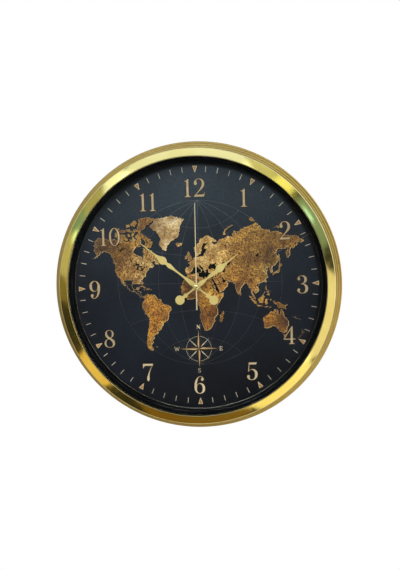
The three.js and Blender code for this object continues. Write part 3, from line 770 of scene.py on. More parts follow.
def case_profile():
    steps, tread = shoulder_steps()
    lip_inside = BAND_INNER + LIP_UNDERCUT
    corners = [(CASE_RADIUS - WALL_DRAFT, CASE_REAR, SOFT)]
    for radius, nose in steps:
        corners.append((radius, nose, NOSE_RADIUS))
        corners.append((radius - tread + STEP_GROOVE, nose - TREAD_RISE, CRISP))
        corners.append((radius - tread, nose - TREAD_RISE + STEP_GROOVE, CRISP))
    corners += [
        (BAND_OUTER, BAND_EDGE, BAND_FILLET),
        (BAND_OUTER - BAND_WIDTH / 2, CASE_FRONT + BAND_SETBACK / 2 - BAND_CROWN, CROWN_RADIUS),
        (BAND_INNER, CASE_FRONT, LIP_FILLET),
        (lip_inside, CASE_FRONT + LIP_RETURN, FINE),
        (lip_inside + SHEET, CASE_FRONT + LIP_RETURN, CRISP),
        (lip_inside + SHEET, CASE_FRONT + SHEET + LIP_SLACK, SOFT),
        (BAND_OUTER - SHEET, BAND_EDGE + SHEET + BAND_SLACK, ROUND),
    ]
    for radius, nose in reversed(steps):
        corners.append((radius - SHEET - tread, nose + SHEET, EASED))
        corners.append((radius - SHEET, nose + SHEET, ROUND))
    corners.append((CASE_RADIUS - WALL_DRAFT - SHEET, CASE_REAR, SOFT))
    return rounded(corners, 6)


def make_case():
    ring = soften(spun("gold_case", case_profile(), CASE_SEGMENTS), SMOOTH_MORE)
    dress(ring, FINISHES["gold_plate"], "case", "gold_plate", "bezel_case")
    for finish in (SATIN_GOLD, SHADED_GROOVE_GOLD, HIGHLIGHT_GOLD):
        ring.data.materials.append(finish)
    steps, tread = shoulder_steps()
    for face in ring.data.polygons:
        reach = reach_of(face)
        depth = face.center.y / MM
        if reach > BAND_OUTER:
            face.material_index = SATIN
        # The lip and the band's outer corner take the painted highlight
        lip = reach < BAND_INNER + LIP_HIGHLIGHT and depth < CASE_FRONT + LINE_BACK
        corner = abs(reach - BAND_OUTER) < BAND_HIGHLIGHT and depth < BAND_EDGE + LINE_BACK
        if lip or corner:
            face.material_index = LIT_EDGE
        # The inner corner of each step takes the painted shade
        for radius, nose in steps:
            across = reach - radius + tread
            along = depth - nose + TREAD_RISE
            if 0 < across < STEP_GROOVE and 0 < along < STEP_GROOVE:
                face.material_index = SHADED_GROOVE


# Glass: a flat disc with ground edges
DISC_SEGMENTS = 128
GROUND_EDGE = 0.5


def make_glass():
    edge = rounded([
        (0, GLASS_REAR, SHARP),
        (GLASS_RADIUS, GLASS_REAR, GROUND_EDGE),
        (GLASS_RADIUS, GLASS_FRONT, GROUND_EDGE),
        (0, GLASS_FRONT, SHARP),
    ], 3)
    lens = soften(spun("flat_glass", edge, DISC_SEGMENTS), SMOOTH_MORE)
    dress(lens, FINISHES["clear_glass"], "case", "clear_glass", "glass_lens")


# Inner ring: a deep black funnel with a ledge above the dial
RING_SEGMENTS = 160
RING_CLEARANCE = 0.3
SKIRT_DEPTH = 9.5
SKIRT_INNER = 134.6
MOUTH_RADIUS = 132.9
MOUTH_CHAMFER = (2.2, 1.4)
# Funnel from the ledge to the foot: radius, height over the foot, fillet
FUNNEL = [(132.0, 5.9, 0.5), (131.0, 5.7, ROUND), (130.0, 0.9, EASED), (129.3, 0.6, SOFT), (129.3, 0, 0.15)]
# Faces inside this radius take the pale metal painted as a highlight line, the second finish in the ring's
# list
FOOT_EDGE = 129.5
LIT_FOOT = 1


def make_inner_ring():
    foot = DIAL_FRONT - RING_CLEARANCE
    top = GLASS_REAR + RING_CLEARANCE
    skirt = DIAL_FRONT + SKIRT_DEPTH
    profile = [
        (RING_RADIUS, skirt, SOFT),
        (RING_RADIUS, top + MOUTH_CHAMFER[1], SOFT),
        (RING_RADIUS - MOUTH_CHAMFER[0], top, EASED),
        (MOUTH_RADIUS, top, ROUND),
    ]
    profile += [(radius, foot - rise, fillet) for radius, rise, fillet in FUNNEL]
    profile += [(SKIRT_INNER, foot, FINE), (SKIRT_INNER, skirt, SOFT)]
    ring = soften(spun("black_inner_ring", rounded(profile, 4), RING_SEGMENTS))
    dress(ring, FINISHES["black_gloss"], "case", "black_gloss", "inner_ring")
    ring.data.materials.append(LIT_RING_FOOT)
    for face in ring.data.polygons:
        if reach_of(face) < FOOT_EDGE and face.center.y < foot * MM:
            face.material_index = LIT_FOOT


# Dial: a thin disc, printed with the map, the scale and the numerals
HAND_HOLE = 4.2
DIAL_FILLET = 0.15


def make_dial():
    profile = rounded([
        (HAND_HOLE, DIAL_REAR, SHARP),
        (DIAL_RADIUS, DIAL_REAR, DIAL_FILLET),
        (DIAL_RADIUS, DIAL_FRONT, DIAL_FILLET),
        (HAND_HOLE, DIAL_FRONT, SHARP),
    ], 2)
    disc = soften(spun("printed_dial", profile, DISC_SEGMENTS), SMOOTH_MORE)
    dress(disc, FINISHES["dial_navy"], "case", "dial_navy", "dial_plate")


# Print layers, each a hair in front of the last
GRID_LAYER = DIAL_FRONT - 0.02
SHADE_LAYER = DIAL_FRONT - 0.035
RIM_LAYER = DIAL_FRONT - 0.045
ROSE_RING_LAYER = GRID_LAYER - 0.03
LAND_LAYER = DIAL_FRONT - 0.06
COAST_LAYER = DIAL_FRONT - 0.08
WATER_LAYER = DIAL_FRONT - 0.105
SCALE_LAYER = DIAL_FRONT - 0.11
EDGE_LAYER = DIAL_FRONT - 0.13
SURROUND_LAYER = EDGE_LAYER + 0.01
FACE_LAYER = DIAL_FRONT - 0.16
SURROUND = 0.45
CORE_SHIFT = (-0.05, -0.05)


def print_on_dial(name, outlines, layer, finish, **ways):
    return dress(drawn(name, outlines, layer, **ways), finish, "case", "dial_navy")


def print_in_relief(name, outlines, border, edge_finish, core_finish, thin=0.0):
    """Figure with a black surround, an edge in one tone and, drawn in by the border, a core in another."""
    print_on_dial(f"{name}_surround", outlines, SURROUND_LAYER, LAND_SHADE, thin=thin - SURROUND)
    print_on_dial(f"{name}_edge", outlines, EDGE_LAYER, edge_finish, thin=thin)
    print_on_dial(name, moved(outlines, *CORE_SHIFT), FACE_LAYER, core_finish, thin=thin + border)


# Minute track: thin ticks with a small facetted triangle at each hour
TRACK_OUTER = 125.6
TICK_LENGTH = 5.6
TICK_WIDTH = 0.46
TRIANGLE_LENGTH = 7.0
TRIANGLE_WIDTH = 4.9
TRIANGLE_BORDER = 0.45
# The print runs a little off true: steps right and up at each hour, and for the ticks at each half hour
HOUR_NUDGES = [
    (0.8, -0.8), (-2.1, 0.3), (-1.0, 1.6), (0.5, 0.8), (1.8, 1.8), (1.8, 1.0),
    (0.3, 0.5), (-0.3, 0.8), (0, 0.8), (0, -0.3), (1.3, 0.3), (1.8, -1.0),
]
TICK_NUDGES = [
    (-1.7, -1.0), (-2.6, 0.6), (-1.3, 2.6), (1.0, 1.6), (1.6, 2.0), (0.5, 1.2),
    (-0.3, 1.3), (-0.4, 1.6), (0, 0.1), (0.9, 1.0), (2.0, -0.5), (1.2, -1.3),
]


def tick_nudge(minute):
    """Step of a tick between the two half hours about it."""
    place = (minute / 5 - 0.5) % 12
    share = place % 1
    first = TICK_NUDGES[int(place)]
    second = TICK_NUDGES[(int(place) + 1) % 12]
    return first[0] * (1 - share) + second[0] * share, first[1] * (1 - share) + second[1] * share


def make_minute_track():
    side = TICK_WIDTH / 2
    inner = TRACK_OUTER - TICK_LENGTH
    tick = [(-side, inner), (side, inner), (side, TRACK_OUTER), (-side, TRACK_OUTER)]
    ticks = []
    for minute in range(60):
        if minute % 5:
            ticks += moved([turned(tick, FULL_TURN * minute / 60)], *tick_nudge(minute))
    print_on_dial("minute_ticks", ticks, SCALE_LAYER, TICK_TAN)
    side = TRIANGLE_WIDTH / 2
    triangle = [(0, TRACK_OUTER - TRIANGLE_LENGTH), (side, TRACK_OUTER), (-side, TRACK_OUTER)]
    marks = []
    for hour, nudge in enumerate(HOUR_NUDGES):
        marks += moved([turned(triangle, FULL_TURN * hour / 12)], *nudge)
    print_in_relief("hour_triangles", marks, TRIANGLE_BORDER, NUMERAL_LIGHT, TRIANGLE_TAN)


# Numerals: upright serif figures, each with its width, drawn on a height of 100
def oval(across, up, wide, tall):
    """Round outline of eight points."""
    turns = [k * EIGHTH_TURN for k in range(8)]
    return [(across + wide * math.cos(turn), up + tall * math.sin(turn), 1) for turn in turns]


SIX = [
    [(56, 80, 1), (50, 94, 1), (36, 100, 1), (14, 86, 1), (1, 45, 1), (7, 12, 1), (31, -1, 1), (55, 9, 1),
     (62, 31, 1), (54, 53, 1), (36, 61, 1), (23, 57, 1), (16.5, 50), (18.5, 66, 1), (27, 90, 1),
     (37, 95.5, 1), (43, 92, 1), (38, 80, 1), (46, 71.5, 1)],
    [(31, 4, 1), (19, 14, 1), (17, 33, 1), (22, 50, 1), (32, 55, 1), (43, 46, 1), (46, 28, 1), (42, 11, 1)],
]
FIGURES = {
    "0": (62, [oval(31, 49.5, 31, 51), oval(31, 49.5, 17.5, 45.5)]),
    "1": (42, [[(3, 0), (41, 0), (41, 4), (32, 6), (29, 13), (29, 100), (24, 100), (15, 92), (3, 88),
                (3, 84), (12, 85.5), (15, 82), (15, 13), (12, 6), (3, 4)]]),
    "2": (64, [[(2, 0), (59, 0), (65, 27), (61, 27), (57, 17, 1), (50, 13.5), (18, 13.5), (40, 36, 1),
                (57, 54, 1), (62, 73, 1), (53, 93, 1), (31, 101, 1), (10, 92, 1), (3, 77, 1), (6, 67, 1),
                (14, 64, 1), (22, 72, 1), (19, 82, 1), (18, 89, 1), (28, 95.5, 1), (41, 90, 1),
                (46, 73, 1), (40, 53, 1), (24, 30, 1), (2, 6)]]),
    "3": (62, [[(22, 50.5), (22, 55), (34, 58, 1), (41, 75, 1), (36, 90, 1), (26, 95, 1), (17, 91.5, 1),
                (16.5, 87, 1), (21, 80, 1), (13, 71, 1), (4, 79, 1), (11, 93, 1), (28, 100, 1), (49, 94, 1),
                (57, 76, 1), (50, 60, 1), (40, 53), (56, 45, 1), (63, 27, 1), (55, 7, 1), (30, -1, 1),
                (9, 6, 1), (2, 19, 1), (10, 28.5, 1), (19.5, 21, 1), (16.5, 11.5, 1), (28, 4, 1),
                (40, 9, 1), (46, 27, 1), (39, 45, 1)]]),
    "4": (66, [[(28, 0), (62, 0), (62, 4), (54, 6), (52, 12), (52, 25), (66, 25), (66, 32), (52, 32),
                (52, 100), (44, 100), (0, 32), (0, 25), (38, 25), (38, 12), (36, 6), (28, 4)],
               [(7, 32), (38, 32), (38, 78)]]),
    "5": (62, [[(12, 100), (60, 100), (53, 86.5), (16.5, 86.5), (14.5, 57), (23, 61, 1), (34, 63, 1),
                (54, 54, 1), (62, 33, 1), (52, 8, 1), (27, -1, 1), (8, 6, 1), (1, 20, 1), (9, 30, 1),
                (18.5, 22, 1), (16.5, 12, 1), (27, 4, 1), (39, 10, 1), (45, 33, 1), (38, 52, 1),
                (27, 57, 1), (17, 53.5, 1), (12, 46), (8, 46)]]),
    "6": (62, SIX),
    "7": (62, [[(2, 100), (61, 100), (61, 94), (47, 66, 1), (39, 36, 1), (38, 7, 1), (31, -1, 1),
                (24, 7, 1), (28, 34, 1), (40, 63, 1), (52, 86.5), (18, 86.5), (9, 82, 1), (6, 72),
                (2, 72)]]),
    "8": (62, [[(31, 100, 1), (50, 93, 1), (56, 76, 1), (50, 61, 1), (42, 53.5, 1), (55, 44, 1),
                (62, 26, 1), (53, 6, 1), (31, -1, 1), (9, 6, 1), (1, 25, 1), (8, 42, 1), (19, 51, 1),
                (10, 60, 1), (6, 75, 1), (12, 93, 1)],
               [(31, 95.5, 1), (20, 90, 1), (18, 79, 1), (25, 66, 1), (37, 58, 1), (43, 75, 1),
                (41, 90, 1)],
               [(25, 46.5, 1), (15, 37, 1), (13, 22, 1), (19, 8, 1), (32, 4, 1), (45, 9, 1), (48, 20, 1),
                (42, 34, 1)]]),
    "9": (62, [[(63 - p[0], 99 - p[1]) + tuple(p[2:]) for p in outline] for outline in SIX]),
}
FIGURE_HEIGHT = 18.9
FIGURE_GAP = 12
FIGURE_BORDER = 0.18
FIGURE_THIN = 0.11
# Numerals stand further out at the sides of the dial
NUMERAL_RING = 103
NUMERAL_SPREAD = 6.5
# Steps right and up of the numerals, as printed
NUMERAL_NUDGES = {
    1: (-1.8, 0), 2: (-1.3, 1.8), 3: (-0.3, -0.3), 4: (1.6, 0.7), 5: (3.1, 0), 6: (-0.3, -1.6), 7: (-2.4, 0),
    8: (-1.4, 0), 9: (0.7, -1.4), 10: (2.6, -0.1), 11: (2.8, -1.7), 12: (-0.3, -0.7),
}


def numeral_outlines(text):
    """A number centred on the origin at its real height."""
    scale = FIGURE_HEIGHT / 100
    width = sum(FIGURES[figure][0] for figure in text) + FIGURE_GAP * (len(text) - 1)
    across = -width / 2
    outlines = []
    for figure in text:
        outlines += moved(FIGURES[figure][1], across * scale, -FIGURE_HEIGHT / 2, scale)
        across += FIGURES[figure][0] + FIGURE_GAP
    return outlines


def make_numerals():
    for hour, (right, above) in NUMERAL_NUDGES.items():
        angle = FULL_TURN * hour / 12
        across, up = polar(NUMERAL_RING + NUMERAL_SPREAD * math.sin(angle) ** 2, angle)
        figure = moved(numeral_outlines(str(hour)), across + right, up + above)
        print_in_relief(
            f"numeral_{hour}", figure, FIGURE_BORDER, NUMERAL_BROWN, NUMERAL_FACE, thin=FIGURE_THIN)


# Map: outlines of the lands in degrees east and north, laid out by the projection below
MAP_WEST = -5.6
MAP_EQUATOR = -17.4
MAP_PER_EAST = 0.65
MAP_PER_NORTH = 0.806
# How the layout eases the poles, and draws the far northern ends and the south-east together
POLE_SCALE = 1.25
POLE_EASE = 0.4
FAR_EAST = (100, 170)
FAR_NORTH = (40, 65)
FAR_DRAW = 0.055
TROPICS_ABOVE = (35, 20)
TROPICS_BELOW = (-12, -2)
EAST_MIDDLE = 95
EAST_HALF = 55
EAST_WESTWARD = 2.0
EAST_UP = 1.7


def share_of(value, first, last):
    """How far a value has come from the first to the last, between 0 and 1."""
    return min(max((value - first) / (last - first), 0), 1)


def on_map(east, north):
    """Cylindrical layout with eased poles, drawn together a little at the far northern ends."""
    far = share_of(abs(east), *FAR_EAST) * share_of(north, *FAR_NORTH)
    rise = math.degrees(POLE_SCALE * math.log(math.tan(EIGHTH_TURN + POLE_EASE * math.radians(north))))
    middle_east = max(0, 1 - ((east - EAST_MIDDLE) / EAST_HALF) ** 2)
    tropics = share_of(north, *TROPICS_ABOVE) * share_of(north, *TROPICS_BELOW)
    return (
        MAP_WEST + MAP_PER_EAST * east * (1 - FAR_DRAW * far) - EAST_WESTWARD * middle_east * tropics,
        MAP_EQUATOR + MAP_PER_NORTH * rise + EAST_UP * middle_east,
    )


NORTH_AMERICA = [
    (-168, 65.6), (-162, 66.5), (-166, 68.3), (-156.5, 71.3), (-141, 69.7), (-135, 69), (-128, 70.3),
    (-115, 68), (-108, 68), (-101, 67.7), (-96, 68.3), (-94.5, 71.8), (-92, 69.5), (-88, 68.5),
    (-85, 69.7), (-81.5, 69), (-81.5, 67.5), (-86, 66.2), (-88, 64.2), (-92, 62.8), (-94.5, 60.5),
    (-94.7, 58.8), (-92.5, 57), (-88, 56.5), (-82.3, 55.2), (-82, 53), (-80, 51.3), (-79, 52),
    (-79, 54.6), (-76.7, 57), (-78.5, 58.8), (-77.5, 60.5), (-78, 62.4), (-74, 62.2), (-70, 61),
    (-69.5, 59), (-66, 58.7), (-64.5, 60.3), (-62, 57.5), (-60, 55.5), (-56, 52.5), (-59, 50.3),
    (-66, 50.2), (-70, 47.2), (-65, 49.2), (-64.8, 47.5), (-61, 45.8), (-63.5, 44.6), (-66, 43.7),
    (-67, 45), (-70, 43.7), (-70.7, 42), (-70, 41.7), (-73.8, 40.6), (-75.5, 38), (-76, 36.9),
    (-75.6, 35.3), (-79, 33.5), (-81.2, 31.5), (-80.1, 27), (-80.4, 25.2), (-81.8, 26.2), (-82.8, 28),
    (-84, 30), (-86, 30.3), (-89.3, 29.2), (-94, 29.5), (-97, 28), (-97.3, 25), (-97.8, 22.3),
    (-96, 19.2), (-94.5, 18.1), (-91.5, 18.5), (-90.4, 21), (-87, 21.5), (-88, 18.3), (-88.7, 15.9),
    (-86, 15.9), (-83.3, 15), (-83.6, 11), (-82, 9), (-79.6, 9.6), (-77.3, 8.5), (-78.3, 7.5),
    (-80, 7.3), (-82.8, 8.2), (-85.7, 9.9), (-87.5, 12.8), (-91.5, 14), (-94.5, 16.1), (-99.8, 16.8),
    (-105.5, 20.3), (-105.8, 22.8), (-109.3, 26), (-112.8, 30.5), (-114.8, 31.7), (-112, 27.5),
    (-109.5, 23.2), (-112, 25), (-115, 28), (-116, 30.5), (-117.2, 32.6), (-120.6, 34.5), (-122.5, 37.5),
    (-124.3, 40.4), (-124, 44), (-124.7, 48.3), (-123, 49), (-127.5, 51), (-130.3, 54.5), (-134, 58),
    (-139, 59.8), (-146, 60.7), (-151.5, 59.3), (-153, 60.5), (-154, 58.6), (-158, 56.5), (-164, 54.6),
    (-160, 56), (-157.5, 58.7), (-162, 58.8), (-165.5, 61.5), (-164.5, 63), (-161, 64.4), (-166, 64.6),
]
SOUTH_AMERICA = [
    (-77.6, 8.6), (-75.5, 10.7), (-72, 12.2), (-71.5, 10.8), (-68, 11), (-62, 10.7), (-60, 8.5), (-57, 6),
    (-52, 4.8), (-50, 1), (-48.5, -0.7), (-44.3, -2.5), (-39, -3.2), (-35.2, -5.5), (-34.9, -8),
    (-37.2, -11.5), (-39, -14), (-39.2, -17.5), (-41, -22), (-44.5, -23.2), (-48.5, -26), (-48.8, -28.5),
    (-52, -32.5), (-54.9, -35), (-58.3, -34.2), (-57, -36.5), (-58, -38.3), (-62.2, -39), (-65, -41),
    (-63.8, -42.6), (-65.3, -44.5), (-67.5, -46.2), (-65.8, -47.8), (-69, -50.7), (-68.4, -52.4),
    (-65.2, -54.7), (-68.5, -55.4), (-72, -54), (-75, -51.5), (-75.5, -47), (-73.5, -42), (-73.5, -37.3),
    (-71.6, -33), (-71.5, -29), (-70.3, -25), (-70.2, -18.5), (-73, -16.5), (-76.3, -13.8), (-79, -8.2),
    (-81.3, -5.5), (-80, -3), (-81, -1), (-79.9, 1), (-77.3, 3.8), (-77.7, 7),
]
AFRICA = [
    (-6, 35.8), (-2, 35.1), (3, 36.8), (10, 37.3), (11, 35.5), (10.2, 34), (15, 32.3), (19.5, 30.4),
    (22, 32.8), (25, 31.6), (29.5, 31), (32.3, 31.2), (32.2, 29.9), (33.2, 27.5), (34.8, 24),
    (36.5, 20.5), (38.3, 15.5), (42.2, 12), (43.6, 10.5), (51.2, 11.9), (50.8, 9), (48, 4.5), (44, 0.5),
    (41, -2), (39.2, -5), (40.5, -10.5), (40.6, -15), (36.5, -18.5), (35, -20.5), (35.5, -24),
    (32.8, -26.5), (30.5, -31), (26, -33.8), (20, -34.8), (18.3, -33.5), (17, -29), (15, -26.5),
    (14.4, -22.5), (11.8, -17), (13.7, -11), (12.2, -6), (9, -1), (9.5, 3.5), (6, 4.3), (4.3, 6.3),
    (-2, 4.8), (-7.6, 4.4), (-11.5, 7), (-13.3, 9.2), (-16.7, 12.4), (-17.4, 14.7), (-16.3, 18),
    (-17, 21), (-14.5, 26), (-12.9, 27.9), (-9.7, 30), (-9.3, 32.5), (-6.8, 34),
]
EURASIA = [
    (-5.6, 36), (-2, 36.8), (0.2, 38.8), (-0.3, 39.5), (3.2, 41.8), (3.2, 43.2), (6.5, 43.2), (8.8, 44.4),
    (10.5, 43), (12.3, 41.7), (15.6, 40), (15.8, 38), (17, 39), (16.8, 40.3), (18.4, 39.9), (16, 41.8),
    (13.6, 43.6), (12.3, 44.8), (13.6, 45.6), (15.2, 44.2), (19, 42), (19.4, 40.5), (21.2, 38.3),
    (21.7, 36.8), (23, 36.5), (23.6, 38), (22.8, 39.5), (23.7, 40.4), (26, 40.8), (26.4, 40),
    (26.2, 39.3), (27.2, 37), (30.6, 36.8), (34, 36.2), (36, 36.6), (35.8, 35), (34.3, 31.3),
    (32.3, 31.2), (33, 29.9), (34.5, 28.2), (35.5, 29.2), (38.2, 25), (40, 21.3), (43.4, 16.5), (44, 13),
    (48, 14), (52.2, 15.6), (55.3, 17.5), (57.8, 19), (59.8, 22.5), (58.5, 23.7), (56.4, 26.2),
    (54, 24.2), (51.6, 24.2), (51.3, 26), (50, 26.6), (48.2, 29.8), (50.2, 30), (51.5, 27.9),
    (54.5, 26.6), (56.9, 27), (57.3, 25.6), (61.6, 25.1), (66.6, 25.3), (68.5, 23.5), (69, 22.2),
    (72.5, 21.2), (72.8, 19), (74, 15), (76.3, 10), (77.5, 8.1), (79.8, 10.3), (80.2, 13.3),
    (82.2, 16.6), (85.5, 19.8), (87, 21.5), (90.5, 22.3), (92, 21), (94.3, 18.3), (94.3, 16),
    (97.5, 16.7), (98.6, 12), (98.3, 8.5), (100.3, 6), (101.4, 2.9), (103.5, 1.4), (104.2, 1.5),
    (103.4, 4.5), (102, 6.3), (100.2, 8.5), (99.3, 10.5), (100, 13.4), (101.2, 12.6), (103, 11),
    (104.9, 8.7), (106.7, 10.3), (109.3, 12), (108.8, 15.3), (106, 18.8), (106.7, 20.7), (109.8, 21.4),
    (110.2, 20.4), (110.8, 21.4), (114, 22.4), (117, 23.6), (119.5, 25.5), (121.8, 28.5), (121.9, 31),
    (120.2, 34), (119.3, 35), (122.5, 37.2), (119, 37.5), (117.7, 39), (121.2, 39), (121.5, 40.6),
    (124.4, 40), (125, 37.8), (126.5, 34.5), (129.2, 35.3), (129.4, 37), (127.5, 39.5), (130.5, 42.3),
    (135.5, 44), (140.3, 48.5), (141, 52.5), (138, 54), (135.3, 54.8), (140, 57.5), (143, 59.3),
    (151, 59.5), (155, 59.4), (160, 61.7), (163, 61.8), (160, 60.5), (156.7, 57), (156, 52), (156.7, 51),
    (160, 53), (162.8, 56.3), (163.3, 58.5), (166, 60), (170.5, 60), (177, 62.5), (179.5, 64.7),
    (186, 64.5), (190, 66), (184, 67.3), (180, 69), (176, 69.8), (170, 69.2), (161, 69.5), (153, 71),
    (140, 72.7), (131, 71.2), (127, 73.3), (114, 73.7), (112, 75.5), (104.3, 77.7), (98, 76), (87, 75),
    (80.5, 73.5), (80, 72), (74.5, 72.5), (73, 68), (71.5, 72.5), (69, 73), (67, 70), (68.5, 68.3),
    (60, 69.8), (54, 68.3), (46, 68), (44, 66.5), (40.5, 64.7), (37.5, 64), (34.5, 65.5), (33, 66.7),
    (41, 66.7), (40, 67.8), (33, 69.4), (28.5, 71), (22, 70.2), (15, 68.3), (12.5, 65.5), (9.5, 63.6),
    (5, 61.8), (5.6, 59), (7.5, 58), (10.5, 59.2), (11.3, 58.3), (12.8, 55.5), (14.3, 55.5),
    (16.5, 56.5), (17.2, 58.6), (19, 59.9), (17.2, 61.5), (21.5, 64.5), (24.5, 65.7), (25.2, 64.7),
    (21.3, 62), (22, 60.3), (25, 60.2), (30, 59.9), (24, 59.3), (23.5, 58.3), (24.3, 57.2), (21.6, 57.5),
    (21, 55.3), (19, 54.3), (14.2, 53.9), (11, 54), (10.9, 56.5), (10.6, 57.7), (8.2, 56.8), (8.5, 54),
    (4.8, 53.2), (3.5, 51.5), (1.6, 50.6), (0.2, 49.6), (-1.8, 49.6), (-2, 48.7), (-4.7, 48.3),
    (-1.3, 46.2), (-1.6, 43.4), (-8.2, 43.7), (-9, 42), (-9.4, 38.7), (-8.9, 37), (-6.3, 36.6),
]
AUSTRALIA = [
    (114, -22), (113.5, -26), (115, -30), (115.7, -33), (115, -34.3), (118, -35), (123.5, -34),
    (126, -32.3), (131, -31.5), (134, -32.9), (135.6, -34.9), (137.8, -32.6), (138.1, -35.6),
    (140, -37.8), (143.5, -38.8), (146.4, -39.1), (150, -37.4), (151.3, -33.5), (153.5, -28.5),
    (153, -25), (149.5, -22), (146, -19), (145.5, -15), (142.6, -10.8), (141.6, -13.5), (140.8, -17.5),
    (139, -17.3), (135.6, -15), (136.8, -12.2), (132.6, -11.4), (130.8, -12.4), (129.3, -14.9),
    (126, -14), (122.2, -18), (119, -20),
]
GREENLAND = [
    (-67, 78.2), (-63, 76), (-57, 75.6), (-52, 71), (-50, 69), (-52.5, 66.5), (-51.5, 64), (-48, 61),
    (-43.5, 59.9), (-42, 62.5), (-40, 65), (-33, 68), (-25, 70.2), (-22, 72), (-20, 75), (-19, 78),
    (-17, 80), (-12, 81.5), (-22, 82.5), (-33, 83.6), (-45, 82.6), (-57, 82.1), (-61, 81), (-63, 79.5),
]
